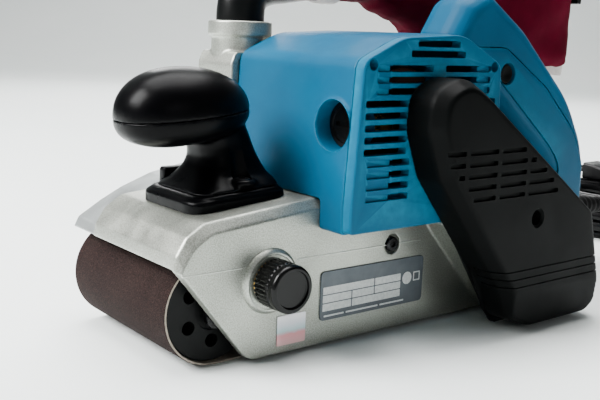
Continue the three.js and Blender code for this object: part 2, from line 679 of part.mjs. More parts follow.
function makeElbow() {
  const outer = tube(ELBOW_PATH, 14.7, 12, 20);
  const inner = tube(extended(ELBOW_PATH, 4), 12.2, 12, 14);
  piece('dust_elbow', outer.subtract(inner), MATERIALS.black);
}

const ELBOW_PATH = [
  [SPOUT_X, SPOUT_Y, 152], [SPOUT_X, SPOUT_Y, 166], [SPOUT_X, SPOUT_Y, 178], [28, SPOUT_Y, 189],
  [16, SPOUT_Y, 196], [0, SPOUT_Y, 199], [-20, SPOUT_Y, 200.5],
];

// The same path, with both ends carried on past their points.
function extended(path, by) {
  const out = (from, to) => {
    const way = new THREE.Vector3(...to).sub(new THREE.Vector3(...from)).setLength(by);
    return new THREE.Vector3(...to).add(way).toArray();
  };
  return [out(path[1], path[0]), ...path, out(path.at(-2), path.at(-1))];
}

function makeBag() {
  const side = [
    corner(-22, 184.5, 2), corner(-62, 186.5, 12), corner(-92, 170, 14), corner(-124, 140, 14),
    corner(-284, 140, 10), corner(-284, 262, 26), corner(-130, 266, 40), corner(-62, 240, 30),
    corner(-36, 216.5, 6), corner(-22, 216.5, 2),
  ];
  const mid = (BAG_Y0 + BAG_Y1) / 2;
  const half = (BAG_Y1 - BAG_Y0) / 2;
  const rings = [[-1, 14], [-0.86, 5], [-0.55, 0.5], [0.55, 0.5], [0.86, 5], [1, 14]].map(([y, d]) => {
    const points = rounded(side, 4).map((p) => {
      const centre = new THREE.Vector2(-165, 200);
      const throat = p.x > -40 ? 0.25 : 1;
      return p.clone().lerp(centre, (d * throat) / p.distanceTo(centre));
    });
    return points.map((p) => {
      const narrow = p.x > -40 ? 15.5 : THREE.MathUtils.mapLinear(Math.min(-p.x, 110), 40, 110, 18, half);
      return new THREE.Vector3(p.x, mid + y * narrow, p.y);
    });
  });
  piece('dust_bag', loft(rings), MATERIALS.bag);
  const clip = prismZ([
    new THREE.Vector2(-293, mid - 7), new THREE.Vector2(-284.6, mid - 9), new THREE.Vector2(-284.6, mid + 9),
    new THREE.Vector2(-293, mid + 7),
  ], 196, 252);
  piece('bag_clip', clip, MATERIALS.black);
}

// ---- Belt cover and drive belt ----

function makeDriveBelt() {
  const pulleys = { front: { x: MOTOR_X, z: MOTOR_Z }, rear: { x: -AXLE_X, z: AXLE_Z } };
  const smallR = SMALL_PULLEY_R + BELT_LIFT;
  const largeR = LARGE_PULLEY_R + BELT_LIFT;
  piece('drive_belt', loopAround(pulleys, smallR, largeR, DRIVE_BELT_THICK, 88.2, 101), MATERIALS.rubber);
}

// The cover's upper body: straight walls, then a bevel of a few millimetres round its face.
function coverShell(shrink, y0, y1) {
  const ring = (grow, y) => ringXZ(rounded(inset(COVER_FACE, shrink + grow)), y);
  return loft([ring(-3.2, y0), ring(-2.4, 103.2), ring(1.6, y1)]);
}

// What is cut off the lower end of the cover's face, where it leans back towards the wall.
function lowerBevel(depth) {
  const lean = THREE.MathUtils.degToRad(-13.4);
  const wedge = new THREE.BoxGeometry(130, 20, 60).translate(0, 10, -30).rotateX(lean);
  return solid(wedge.translate(-85, COVER_OUT_Y - depth, 27));
}

function coverFoot(shrink, y0) {
  const low = [corner(-32, 61.5), corner(-84, 3.2, 4), corner(-124, 3.2, 6), corner(-132, 14, 6), corner(-131, 46, 6),
    corner(-114, 66, 6)];
  const high = [corner(-18, 66.5), corner(-56, 3.2, 8), corner(-126, 3.2, 6), corner(-133, 14, 6), corner(-131.5, 46, 6),
    corner(-116, 66.5, 6)];
  return loft([ringXZ(rounded(inset(low, shrink)), y0), ringXZ(rounded(inset(high, shrink)), 88)]);
}

function makeBeltCover() {
  const inside = coverShell(COVER_WALL, PANEL_OUT_Y - 1, COVER_OUT_Y - COVER_WALL)
    .subtract(lowerBevel(COVER_WALL));
  let cover = coverShell(0, PANEL_OUT_Y + GAP, COVER_OUT_Y).add(coverFoot(0, RIM_Y + GAP));
  cover = cover.subtract(lowerBevel(0)).subtract(inside).subtract(coverFoot(COVER_WALL, RIM_Y - 1));
  const rows = [[108.2, 11.5, -49], [102.1, 8.4, -58.5], [95.9, 3.2, -68.5], [89.8, -4.3, -75.5], [83.7, -9, -80]];
  const rib = 3;
  for (const [z, front, rear] of rows) {
    const edges = [front, -1, -26.2, -50.6, rear].filter((x, i, all) => i === 0 || x < all[0] - 4);
    for (let i = 0; i + 1 < edges.length; i++) {
      const [x1, x0] = [edges[i] - (i ? rib : 0), Math.max(edges[i + 1], rear)];
      if (x1 - x0 > 4) cover = cover.subtract(block(x0, x1, 105.5, 112, z - 1.3, z + 1.3));
    }
  }
  cover = cover.add(rodY(SCREW_X, SCREW_Z, 5, RIM_Y + GAP, 109, 20))
    .subtract(rodY(SCREW_X, SCREW_Z, 3.7, 98, 112, 20));
  cover = cover.subtract(rodY(SCREW_X, SCREW_Z, 2.3, 60, 112, 12));
  piece('belt_cover', cover, MATERIALS.black);
  const screw = rodY(SCREW_X, SCREW_Z, 3.4, 98.3, 101, 16).add(rodY(SCREW_X, SCREW_Z, 2, 58, 99, 12));
  piece('belt_cover_screw', screw, MATERIALS.black);
}

// ---- Rear handle, switch and lock ----

function makeHandle() {
  const hole = rounded(LOOP_HOLE, 4);
  const chamfered = rounded(inset(HANDLE, 3), 4);
  const full = rounded(HANDLE, 4);
  const loopCut = prismY(hole, HANDLE_RIGHT_Y - 5, HANDLE_LEFT_Y + 5);
  const clear = prismY(rounded(inset(HOUSING, -GAP), 5), HANDLE_RIGHT_Y - 5, HANDLE_LEFT_Y + 5);
  let shell = loft([
    ringXZ(chamfered, HANDLE_RIGHT_Y), ringXZ(full, HANDLE_RIGHT_Y + 6), ringXZ(full, HANDLE_SEAM_Y),
  ]).subtract(loopCut).subtract(clear);
  shell = shell.subtract(prismY(barPocket(), HANDLE_RIGHT_Y + 6, HANDLE_LEFT_Y + 5));
  const window = [onBar(4, 9), onBar(57, 9), onBar(57, -14), onBar(4, -14)];
  shell = shell.subtract(prismY(window, 21.4, 37.6));
  piece('handle_shell', shell, MATERIALS.teal);
  const cover = loft([
    ringXZ(rounded(inset(HANDLE, 3.5), 4), HANDLE_SEAM_Y + GAP), ringXZ(rounded(inset(HANDLE, 7), 4), HANDLE_LEFT_Y),
  ]).subtract(prismY(rounded(inset(LOOP_HOLE, -4), 4), HANDLE_RIGHT_Y, HANDLE_LEFT_Y + 5)).subtract(clear);
  const button = onBar(...LOCK_PLACE);
  piece('handle_cover', cover.subtract(rodY(button.x, button.y, 6.6, 30, 60, 24)), MATERIALS.teal);
}

// The hollow in the main bar that holds the switch.
function barPocket() {
  return [onBar(3, -5), onBar(72, -5), onBar(72, -30), onBar(3, -30)];
}

function makeSwitch() {
  piece('switch_body', prismY([onBar(20, -18), onBar(64, -18), onBar(64, -28), onBar(20, -28)], 20, 36),
    MATERIALS.black);
  const lever = [
    onBar(7, -8), onBar(53, -8), onBar(54, 5), onBar(48, 10), onBar(38, 8), onBar(24, 5), onBar(14, 7), onBar(7, 4),
  ];
  piece('trigger', prismY(lever, 22, 37), MATERIALS.black);
  const button = onBar(...LOCK_PLACE);
  const lock = rodY(button.x, button.y, 5.9, 40.6, 46.5, 24);
  piece('lock_button', lock, MATERIALS.black);
}

// ---- Front grip ----

const GRIP_TILT = THREE.MathUtils.degToRad(5);
const GRIP_X = 106.6;
const GRIP_SPLIT_Z = 122.5;
const GRIP_HALF_LENGTH = 36.6;
const GRIP_HALF_WIDTH = 25.8;
const GRIP_UP = 24;
const GRIP_DOWN = 14.5;
const GRIP_SCREW_X = 84;
const GRIP_SCREW_Y = 35;
const GRIP_SCREW_Z = 87.5;
const LUG = [90, 104, -15.5, -9.5, 75, 91.5]; // a small lug on the base, beside the grip's stem
const DECK_SLOPE = 0.058;

// The grip's head: an egg that is taller above its parting line than below it.
function gripHead() {
  const egg = new THREE.SphereGeometry(1, 24, 16).rotateX(Math.PI / 2);
  const at = egg.attributes.position;
  for (let i = 0; i < at.count; i++) {
    const tall = at.getZ(i) > 0 ? GRIP_UP : GRIP_DOWN;
    at.setXYZ(i, at.getX(i) * GRIP_HALF_LENGTH, at.getY(i) * GRIP_HALF_WIDTH, at.getZ(i) * tall);
  }
  return solid(egg.rotateY(GRIP_TILT).translate(GRIP_X, GRIP_Y, GRIP_SPLIT_Z));
}

function gripHalf(upper) {
  const slab = new THREE.BoxGeometry(120, 90, 60).translate(0, 0, upper ? 30.15 : -30.15);
  return solid(slab.rotateY(GRIP_TILT).translate(GRIP_X, GRIP_Y, GRIP_SPLIT_Z));
}

// Tips a level ring down towards the front, to follow the deck.
function alongDeck(ring) {
  return ring.map((p) => new THREE.Vector3(p.x, p.y, p.z - DECK_SLOPE * (p.x - 87.5)));
}

function makeGrip() {
  piece('grip_cap', gripHead().intersect(gripHalf(true)), MATERIALS.gripBlack);
  const stem = loft([
    alongDeck(ringXY(60, 112.4, -11.4, 41, 13, 85)),
    alongDeck(ringXY(60.6, 107, -8, 37.2, 13, 88.6)),
    ringXY(61.6, 103.6, -5, 34, 13, 91.6),
    ringXY(63.4, 101.2, -2.6, 31.4, 13, 95.6),
    ringXY(65.8, 100.1, -1, 29.8, 13, 100.6),
    ringXY(68.4, 100.6, -0.2, 28.8, 12, 106),
    ringXY(71.5, 105, -0.5, 28.8, 12, 113),
    ringXY(75, 108, 0.5, 28.5, 12, 120.5),
  ]);
  const [lugX0, lugX1, lugY0, lugY1, lugZ0, lugZ1] = LUG;
  const lower = gripHead().add(stem).intersect(gripHalf(false))
    .subtract(block(lugX0 - GAP, lugX1 + GAP, lugY0 - GAP, lugY1 + GAP, lugZ0, lugZ1 + GAP))
    .subtract(rodZ(GRIP_SCREW_X, GRIP_SCREW_Y, 5.6, GRIP_SCREW_Z - GAP, 100, 20));
  piece('grip_stem', lower, MATERIALS.gripBlack);
  const base = loft([
    ringXY(58, 117, -14, 43.5, 12, 70),
    alongDeck(ringXY(58, 117, -14, 43.5, 12, 82.2)),
    alongDeck(ringXY(59.6, 113.6, -12, 41.6, 12, 84.7)),
  ]).add(block(...LUG));
  const deck = prismY(rounded(inset([...FRAME_TOP, ...FRAME_BOTTOM], -GAP)), -40, 60);
  piece('grip_base', base.subtract(deck), MATERIALS.gripBlack);
  const head = rodZ(GRIP_SCREW_X, GRIP_SCREW_Y, 4.6, GRIP_SCREW_Z, GRIP_SCREW_Z + 3.5, 20);
  const hex = rodZ(GRIP_SCREW_X, GRIP_SCREW_Y, 2, GRIP_SCREW_Z + 1.5, GRIP_SCREW_Z + 4.5, 6);
  piece('grip_screw', head.subtract(hex), MATERIALS.steel);
}

// ---- Cord ----

const GUARD_END = [-244.5, HANDLE_MID_Y, 46.6];
const ROUTE = [
  GUARD_END, [-253.5, 30, 45.85], [-262, 30, 45.05], [-274, 30, 44], [-286, 29.9, 42.2],
  [-298, 29.4, 39.8], [-310, 28.7, 37.4], [-322, 27.9, 35.3],
  [-334, 27.1, 33.7], [-346, 26.2, 32.6], [-358, 25.2, 31.8], [-370, 24.2, 31.2], [-380, 23.5, 30.8],
  [-388.5, 23, 30.5],
];

function makeCord() {
  const guard = solid(new THREE.CylinderGeometry(8.2, 5.8, 42, 20).rotateZ(-Math.PI / 2).rotateY(-0.07)
    .translate(-223.3, HANDLE_MID_Y, 48.1));
  const flange = rodX(HANDLE_MID_Y, 50.3, 10, -206.5, -201.9, 24);
  piece('cord_guard', guard.add(flange), MATERIALS.rubber);
  const innerR = COIL_TURNS[0] - CORD_D / 2;
  const outerR = COIL_TURNS.at(-1) + CORD_D / 2;
  const ring = rodZ(COIL_X, COIL_Y, outerR, 0, COIL_TOP, 36)
    .subtract(rodZ(COIL_X, COIL_Y, innerR, -1, COIL_TOP + 1, 30));
  piece('cord_coil', ring, MATERIALS.rubber);
  const insideGuard = new THREE.BoxGeometry(20, 40, 40)
    .translate(GUARD_END[0] + 9.4, GUARD_END[1], GUARD_END[2]);
  const taken = rodZ(COIL_X, COIL_Y, outerR + GAP, -5, 60, 48).add(solid(insideGuard));
  piece('cord', tube(ROUTE, CORD_D / 2, 24, 10).subtract(taken), MATERIALS.rubber);
  makePlug();
}

// The plug lies on the coil, with its pins away from the cord's end.
function makePlug() {
  const bottom = COIL_TOP + GAP;
  const widths = [[0, 6], [12, 9], [30, 13], [40, 14]];
  const body = loft(widths.map(([along, half]) => plugRing(along, half, bottom)));
  const pins = [-9.5, 9.5].map((x) => rodY(PLUG_X + x, bottom + 8, 2, PLUG_BACK_Y - 59, PLUG_BACK_Y - 39, 12));
  piece('plug', body.add(pins[0]).add(pins[1]), MATERIALS.rubber);
}

// A rounded section across the plug, a way along it from its back.
function plugRing(along, half, bottom) {
  const high = Math.max(half * 1.15, 9);
  const box = [corner(-half, 0, 3), corner(half, 0, 3), corner(half, high, 3), corner(-half, high, 3)];
  return rounded(box).map((p) => new THREE.Vector3(PLUG_X + p.x, PLUG_BACK_Y - along, bottom + p.y));
}

makeFrame();
makeRightGuard();
makeSandingBelt();
makePlaten();
makeNameplate();
makeDriveRoller();
makeFrontRoller();
makeYoke();
makeTensioner();
makeTrackingKnob();
makeHousing();
makeEndCover();
makeMotor();
makeFanCase();
makeDustDuct();
makeElbow();
makeBag();
makeDriveBelt();
makeBeltCover();
makeHandle();
makeSwitch();
makeGrip();
makeCord();

export default sander;
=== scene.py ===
"""Looks of a handheld belt sander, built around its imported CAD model.

Lengths are millimetres, except where a heading says metres. Texture scales are per metre.
"""

from math import atan2, copysign, cos, exp, pi, radians, sin, tan, tau

import bmesh
import bpy
from mathutils import Matrix, Vector, noise


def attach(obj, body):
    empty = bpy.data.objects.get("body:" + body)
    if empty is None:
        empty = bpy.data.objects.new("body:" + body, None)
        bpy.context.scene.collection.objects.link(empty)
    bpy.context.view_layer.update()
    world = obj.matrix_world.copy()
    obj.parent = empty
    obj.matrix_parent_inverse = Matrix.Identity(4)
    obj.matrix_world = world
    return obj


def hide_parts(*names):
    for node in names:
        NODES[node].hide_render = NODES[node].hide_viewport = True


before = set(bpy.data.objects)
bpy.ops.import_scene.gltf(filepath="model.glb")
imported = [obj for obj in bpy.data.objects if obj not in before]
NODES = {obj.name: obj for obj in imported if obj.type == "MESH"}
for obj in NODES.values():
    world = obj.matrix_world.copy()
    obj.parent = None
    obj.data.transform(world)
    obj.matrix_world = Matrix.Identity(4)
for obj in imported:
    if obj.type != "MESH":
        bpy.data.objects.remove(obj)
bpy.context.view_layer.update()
MM = 0.001
GAP = 0.3

# ---- Driving dimensions, most of them the CAD's. Outlines hold x, z and a rounded corner's radius ----

AXLE_X = 108.83
AXLE_Z = 28.4
ROLLER_R = 26.6
ROLLER_HALF = 48.5
ROLLER_HOLES = 6
BELT_HALF = 50
BELT_IN_R = 27.2
BELT_OUT_R = 28.4
WALL_OUT_Y = 60
KNOB = (82.5, 42)
MOTOR = (-3, 0, 119)
HOUSING_RIGHT_Y = -22
PANEL_IN_Y = 79
PANEL_OUT_Y = 85
BLIND_SLOT_Y = 83.5
COVER_OUT_Y = 110
COVER_WALL = 2.2
COVER_SLOT_Y = 108.1
COVER_SCREW = (-64, 0, 68.8)
SPOUT = (35, -41.5)
BRUSH_Y = 66
BRUSH_Z = 120
# Each brush cap's name, the x of its face and the way it faces.
BRUSHES = (("front", 43, 1), ("rear", -49, -1))
GRIP_MID = (106.6, 15, 122.5)
GRIP_HALF_LENGTH = 36.6
GRIP_HALF_WIDTH = 25.8
GRIP_SCREW = (84, 35)
GRIP_TILT = radians(5)
DECK_SLOPE = 0.058
DECK_MID_X = 87.5
BAG_MID_Y = -41
BAG_THROAT_X = -34
BAG_SEAM_REACH = 2.5
BAG_MOST_MOVE = 9
BAG_STEPS = 18

FRAME_TOP = [
    (136, 53), (134.5, 60, 4), (129, 68.5, 6), (119, 74.8, 8), (54, 81.3), (-58.5, 81.3), (-62, 66),
    (-116, 64, 10), (-133, 56, 8), (-143, 42, 8), (-145, 26),
]
FRAME_BOTTOM = [(-142, 12, 6), (-128, 2, 6), (95, 2, 12)]
HOUSING = [(53, 81.6), (48.6, 153, 9), (22, 165, 30), (-22, 167.5, 30), (-54, 152, 9), (-58, 81.6)]
COVER_FACE = [
    (15.5, 119, 20), (14.5, 136, 16), (-3, 144, 20), (-20, 134.5, 14), (-117, 68, 7), (-129.5, 25),
    (-131, 10, 6), (-125, 6, 6), (-74, 6, 12), (-54, 13, 8), (-46.3, 30.4), (6, 95, 10),
]
COVER_FOOT_LOW = [(-32, 61.5), (-84, 3.2, 4), (-124, 3.2, 6), (-132, 14, 6), (-131, 46, 6), (-114, 66, 6)]
COVER_FOOT_HIGH = [
    (-18, 66.5), (-56, 3.2, 8), (-126, 3.2, 6), (-133, 14, 6), (-131.5, 46, 6), (-116, 66.5, 6),
]
HANDLE = [
    (-57, 168), (-69, 187, 12), (-88, 196, 12), (-126, 173, 60), (-178, 129, 90), (-201.5, 92, 60),
    (-201.5, 40, 12), (-147.5, 44), (-145.5, 52, 6), (-117, 66.6, 8), (-62.5, 68.5), (-61, 81.6), (-57, 81.6),
]
HANDLE_PLATE = [
    (-60, 160.5), (-104, 160.5, 14), (-147, 136, 34), (-180, 107.5, 34), (-195, 84, 24), (-196, 46, 8),
    (-149, 49.5), (-144, 56.5, 6), (-117, 69, 8), (-65, 71), (-60, 84),
]
LOOP_HOLE = [(-76, 147, 9), (-164, 79, 9), (-76, 83, 9)]
LOCK_PLACE = (25.5, -16.5)

# The end cover's slots: the x of both ends and the z of the middle.
PANEL_THROUGH = [(-19, 12.5, 162), (-23.5, 17, 156.7)]
PANEL_BLIND = []
for row in range(3):
    PANEL_THROUGH += [(0.2, 30.2, 149.3 - row * 5.7), (-35, -8.8, 149.3 - row * 5.7)]
    PANEL_BLIND += [(29.9, 39.6, 149.3 - row * 5.7), (-44.6, -34.7, 149.3 - row * 5.7)]
for row in range(5):
    PANEL_THROUGH += [(17, 46.3, 131.8 - row * 6), (-50, -29, 131.8 - row * 6)]
for row in range(4):
    PANEL_THROUGH.append((14, 27, 102 - row * 5.9))
    PANEL_BLIND += [(26.7, 43.7, 102 - row * 5.9), (-46, -30, 102 - row * 5.9)]
PANEL_SCREWS = ((42.4, 151), (-47.6, 150.4))

# The belt cover's slots: z, the front end's x and the rear end's x, and the x of the ribs between them.
COVER_SLOTS = [
    (108.2, 11.5, -49), (102.1, 8.4, -58.5), (95.9, 3.2, -68.5), (89.8, -4.3, -75.5), (83.7, -9, -80),
]
COVER_BREAKS = (-1, -26.2, -50.6)
PARTING_LINES = ((133.5, 99.6), (65.4, 3), (-7, -24))
# The nameplate's limits in x and z, then its rows: limits in z, and each cell's front and rear x.
LABEL = (-26.8, 49.6, 15, 42)
LABEL_ROWS = (
    (29.4, 33.4, ((48, 11.5), (10.7, -8.8))),
    (24.8, 28.8, ((48, 28), (27.2, 11.5), (10.7, -8.8))),
    (20.2, 24.2, ((48, 28), (27.2, -8.8))),
    (17, 17.9, ((47, 33), (31.5, 8), (6.5, -12))),
)

CORD_D = 8.7
COIL_MID = (-385, -44)
COIL_RADII = (67.1, 58.4, 49.7, 41)
COIL_LAYERS = 4
COIL_START = radians(93)
CORD_EXIT = (-244.5, 30, 46.6)
CORD_ROUTE = [
    CORD_EXIT, (-253.5, 30, 45.85), (-262, 30, 45.05), (-274, 30, 44), (-286, 29.9, 42.2), (-298, 29.4, 39.8),
    (-310, 28.7, 37.4), (-322, 27.9, 35.3), (-334, 27.1, 33.7), (-346, 26.2, 32.6), (-358, 25.2, 31.8),
    (-370, 24.2, 31.2), (-380, 23.5, 30.8),
]
PLUG_X = -425.5
PLUG_BACK_Y = -58
GUARD_LENGTH = 42
GUARD_RIBS = 7
GUARD_AT = (-202.3, 30, 49.6)
GUARD_DROP = 0.07

# ---- Camera, lights and floor, in metres. The camera's turns are yaw, pitch and roll in degrees ----

CAMERA_AT = (0.34182, 0.40685, 0.16507)
CAMERA_TURNS = (38.5646, 10.617, 2.161)
CAMERA_LENS = 53.54
# Each light's name, place, aim, size and power in watts.
LIGHTS = (
    ("key", (1.25, -0.45, 1.15), (0, 0, 0.06), (0.9, 0.9), 84),
    ("top", (-0.15, -0.35, 1.9), (0, 0.1, 0), (1.8, 1.5), 96),
    ("side_fill", (0.2, 2.0, 0.9), (0, 0, 0.05), (1.2, 0.6), 2.5),
    ("rear", (-1.3, -1.5, 0.95), (0, 0, 0.08), (1.6, 0.6), 24),
    ("backdrop", (-1.0, -1.4, 1.5), (-1.8, -2.6, 0.3), (1.8, 0.8), 22),
)
FLOOR_HALF = 6.0
BACKDROP_AT = 2.2
BACKDROP_BEND = 1.6
BACKDROP_TOP = 5.0
BACKDROP_TURN = radians(38.56)


def make_camera():
    yaw, pitch, roll = (radians(a) for a in CAMERA_TURNS)
    ahead = Vector((-sin(yaw) * cos(pitch), -cos(yaw) * cos(pitch), -sin(pitch)))
    right = ahead.cross(Vector((0, 0, 1))).normalized()
    up = right.cross(ahead)
    level_right = cos(roll) * right + sin(roll) * up
    level_up = -sin(roll) * right + cos(roll) * up
    data = bpy.data.cameras.new("camera")
    data.lens = CAMERA_LENS
    data.sensor_width = 36
    data.clip_start = 0.01
    camera = link("camera", data)
    turn = Matrix((level_right, level_up, -ahead)).transposed().to_4x4()
    camera.matrix_world = Matrix.Translation(CAMERA_AT) @ turn
    bpy.context.scene.camera = camera


def area_light(name, at, towards, size, power):
    data = bpy.data.lights.new(name, "AREA")
    data.shape = "RECTANGLE"
    data.size, data.size_y = size
    data.energy = power
    light = link(name, data)
    light.location = at
    light.rotation_euler = (Vector(towards) - Vector(at)).to_track_quat("-Z", "Y").to_euler()


def make_lights():
    for light in LIGHTS:
        area_light(*light)
    world = bpy.data.worlds.new("studio")
    world.use_nodes = True
    background = world.node_tree.nodes["Background"]
    background.inputs["Color"].default_value = (0.9, 0.95, 0.97, 1)
    background.inputs["Strength"].default_value = 0.11
    bpy.context.scene.world = world


def make_floor():
    """A floor that curves up into a backdrop behind the tool."""
    steps = 12
    profile = [(-FLOOR_HALF, 0.0), (BACKDROP_AT, 0.0)]
    for k in range(1, steps + 1):
        a = pi / 2 * k / steps
        profile.append((BACKDROP_AT + BACKDROP_BEND * sin(a), BACKDROP_BEND * (1 - cos(a))))
    profile.append((BACKDROP_AT + BACKDROP_BEND, BACKDROP_TOP))
    away = Vector((-sin(BACKDROP_TURN), -cos(BACKDROP_TURN), 0))
    sideways = Vector((-away.y, away.x, 0))
    verts = [away * along + sideways * side + Vector((0, 0, z))
             for along, z in profile for side in (-FLOOR_HALF, FLOOR_HALF)]
    faces = [(2 * i, 2 * i + 1, 2 * i + 3, 2 * i + 2) for i in range(len(profile) - 1)]
    mesh = bpy.data.meshes.new("floor")
    mesh.from_pydata(verts, [], faces)
    floor = link("floor", mesh)
    shade_smooth(floor, 180)
    floor.data.materials.append(plain_floor())


# ---- Mesh helpers ----

def link(name, data):
    made = bpy.data.objects.new(name, data)
    bpy.context.scene.collection.objects.link(made)
    return made


def shade_smooth(piece, angle=32):
    mesh = piece.data
    mesh.polygons.foreach_set("use_smooth", [True] * len(mesh.polygons))
    mesh.set_sharp_from_angle(angle=radians(angle))
    mesh.update()
    return piece


def inset(corners, d):
    """Moves a closed outline's edges inwards by d, or outwards where d is negative."""
    count = len(corners)
    area = sum(a[0] * b[1] - b[0] * a[1] for a, b in zip(corners, corners[1:] + corners[:1]))
    side = copysign(1, area) * d
    moved = []
    for i, here in enumerate(corners):
        before, after = corners[i - 1], corners[(i + 1) % count]
        u = Vector((here[0] - before[0], here[1] - before[1])).normalized()
        v = Vector((after[0] - here[0], after[1] - here[1])).normalized()
        spread = 1 + u.dot(v)
        point = (here[0] - side * (u.y + v.y) / spread, here[1] + side * (u.x + v.x) / spread)
        r = here[2] if len(here) > 2 else 0
        moved.append((*point, max(r - d, 0.3)) if r > 0 else point)
    return moved


def rounded(corners, steps=9):
    """The outline's points, with each corner of radius r drawn as a curve."""
    points = []
    count = len(corners)
    for i, corner in enumerate(corners):
        here = Vector(corner[:2])
        r = corner[2] if len(corner) > 2 else 0
        if r <= 0:
            points.append(here)
            continue
        before = Vector(corners[i - 1][:2]) - here
        after = Vector(corners[(i + 1) % count][:2]) - here
        reach = min(r / tan(before.angle(after) / 2), before.length * 0.48, after.length * 0.48)
        start = here + before.normalized() * reach
        end = here + after.normalized() * reach
        for k in range(steps + 1):
            t = k / steps
            points.append(start * (1 - t) ** 2 + here * 2 * t * (1 - t) + end * t * t)
    return points


def loft(name, rings):
    """A closed body through rings of points, each with as many points as the first."""
    count = len(rings[0])
    verts = [Vector(p) * MM for ring in rings for p in ring]
    faces = []
    for r in range(len(rings) - 1):
        for i in range(count):
            j = (i + 1) % count
            a, b = r * count, (r + 1) * count
            faces.append((a + i, a + j, b + j, b + i))
    faces.append(tuple(reversed(range(count))))
    faces.append(tuple(range((len(rings) - 1) * count, len(rings) * count)))
    mesh = bpy.data.meshes.new(name)
    mesh.from_pydata(verts, [], faces)
    return outward(link(name, mesh))


def outward(piece):
    made = bmesh.new()
    made.from_mesh(piece.data)
    bmesh.ops.recalc_face_normals(made, faces=made.faces)
    if made.calc_volume(signed=True) < 0:
        bmesh.ops.reverse_faces(made, faces=made.faces)
    made.to_mesh(piece.data)
    made.free()
    return piece


def across(corners, y, steps=9):
    return [(p.x, y, p.y) for p in rounded(corners, steps)]


def slab(name, corners, y0, y1, edge0=0.0, edge1=0.0, steps=9, edge_steps=4):
    """A plate across Y over an outline of x and z, with its two edges rounded."""
    rings = []
    for edge, face, way in ((edge0, y0, 1), (edge1, y1, -1)):
        side = []
        if edge <= 0:
            side.append((0.0, face))
        else:
            for k in range(edge_steps + 1):
                a = pi / 2 * k / edge_steps
                side.append((edge * (1 - sin(a)), face + way * edge * (1 - cos(a))))
        rings.extend(side if way > 0 else reversed(side))
    return loft(name, [across(inset(corners, d) if d else corners, y, steps) for d, y in rings])


def box_outline(x0, x1, z0, z1, r=0.0):
    return [(x0, z0, r), (x1, z0, r), (x1, z1, r), (x0, z1, r)]


def block(name, x0, x1, y0, y1, z0, z1):
    return slab(name, box_outline(x0, x1, z0, z1), y0, y1)


AXES = {"x": (Vector((0, 1, 0)), Vector((0, 0, 1)), Vector((1, 0, 0))),
        "y": (Vector((0, 0, 1)), Vector((1, 0, 0)), Vector((0, 1, 0))),
        "z": (Vector((1, 0, 0)), Vector((0, 1, 0)), Vector((0, 0, 1)))}


def turned(name, axis, centre, profile, sides=64, ribs=None):
    """A body turned round an axis. profile holds (along, radius) pairs, and ribs(along, angle) is added."""
    u, v, w = AXES[axis]
    centre = Vector(centre)
    rings = []
    for along, r in profile:
        ring = []
        for i in range(sides):
            a = tau * i / sides
            rr = r + (ribs(along, a) if ribs else 0)
            ring.append(centre + w * along + (u * cos(a) + v * sin(a)) * rr)
        rings.append(ring)
    return loft(name, rings)


def rod(axis, centre, low, high, r, sides=40):
    return turned("rod", axis, centre, [(low, r), (high, r)], sides)


def swept(name, path, radii, sides=40):
    """A round body along a path of points, with a radius at each."""
    points = [Vector(p) for p in path]
    rings = []
    side = Vector((0, 1, 0))
    for i, p in enumerate(points):
        way = (points[min(i + 1, len(points) - 1)] - points[max(i - 1, 0)]).normalized()
        u = (side - way * side.dot(way)).normalized()
        v = way.cross(u)
        rings.append([p + (u * cos(a) + v * sin(a)) * radii[i]
                      for a in (tau * k / sides for k in range(sides))])
    return loft(name, rings)


def smooth_path(points, per=8):
    """A Catmull-Rom curve through the points."""
    pts = [Vector(p) for p in points]
    ends = [2 * pts[0] - pts[1], *pts, 2 * pts[-1] - pts[-2]]
    path = []
    for i in range(1, len(ends) - 2):
        a, b, c, d = ends[i - 1:i + 3]
        for k in range(per):
            t = k / per
            path.append(0.5 * ((2 * b) + (c - a) * t + (2 * a - 5 * b + 4 * c - d) * t * t
                               + (3 * b - 3 * c + d - a) * t ** 3))
    path.append(pts[-1])
    return path


def bake(piece):
    """Turns a piece's modifiers into mesh."""
    graph = bpy.context.evaluated_depsgraph_get()
    mesh = bpy.data.meshes.new_from_object(piece.evaluated_get(graph))
    piece.modifiers.clear()
    old = piece.data
    piece.data = mesh
    bpy.data.meshes.remove(old)
    return piece


def join(name, parts):
    made = bmesh.new()
    for part in parts:
        made.from_mesh(part.data)
    mesh = bpy.data.meshes.new(name)
    made.to_mesh(mesh)
    made.free()
    for part in parts:
        bpy.data.objects.remove(part)
    return link(name, mesh)


def cut(piece, *cutters, operation="DIFFERENCE"):
    for cutter in cutters:
        step = piece.modifiers.new("cut", "BOOLEAN")
        step.operation = operation
        step.solver = "MANIFOLD"
        step.object = cutter
        bake(piece)
        bpy.data.objects.remove(cutter)
    return piece


def melt(piece, voxel=0.9, rounds=5):
    """Joins a piece's overlapping bodies into one skin and softens its edges, as on a casting."""
    step = piece.modifiers.new("skin", "REMESH")
    step.mode = "VOXEL"
    step.voxel_size = voxel * MM
    soft = piece.modifiers.new("soft", "SMOOTH")
    soft.factor = 0.5
    soft.iterations = rounds
    return bake(piece)


def cad_copy(name, node):
    """A new piece with a CAD node's shape, its points joined up."""
    made = bmesh.new()
    made.from_mesh(NODES[node].data)
    bmesh.ops.remove_doubles(made, verts=made.verts, dist=1e-6)
    mesh = bpy.data.meshes.new(name)
    made.to_mesh(mesh)
    made.free()
    return link(name, mesh)


def finish(piece, slot, look, *nodes, body="chassis", angle=32):
    """Shades a piece and gives it its material and body, and hides the CAD nodes it stands for. Its slot is
    not used.
    """
    shade_smooth(piece, angle)
    flat = piece.modifiers.new("flat_faces", "WEIGHTED_NORMAL")
    flat.keep_sharp = True
    piece.data.materials.clear()
    piece.data.materials.append(LOOKS[look])
    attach(piece, body)
    if nodes:
        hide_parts(*nodes)
    return piece


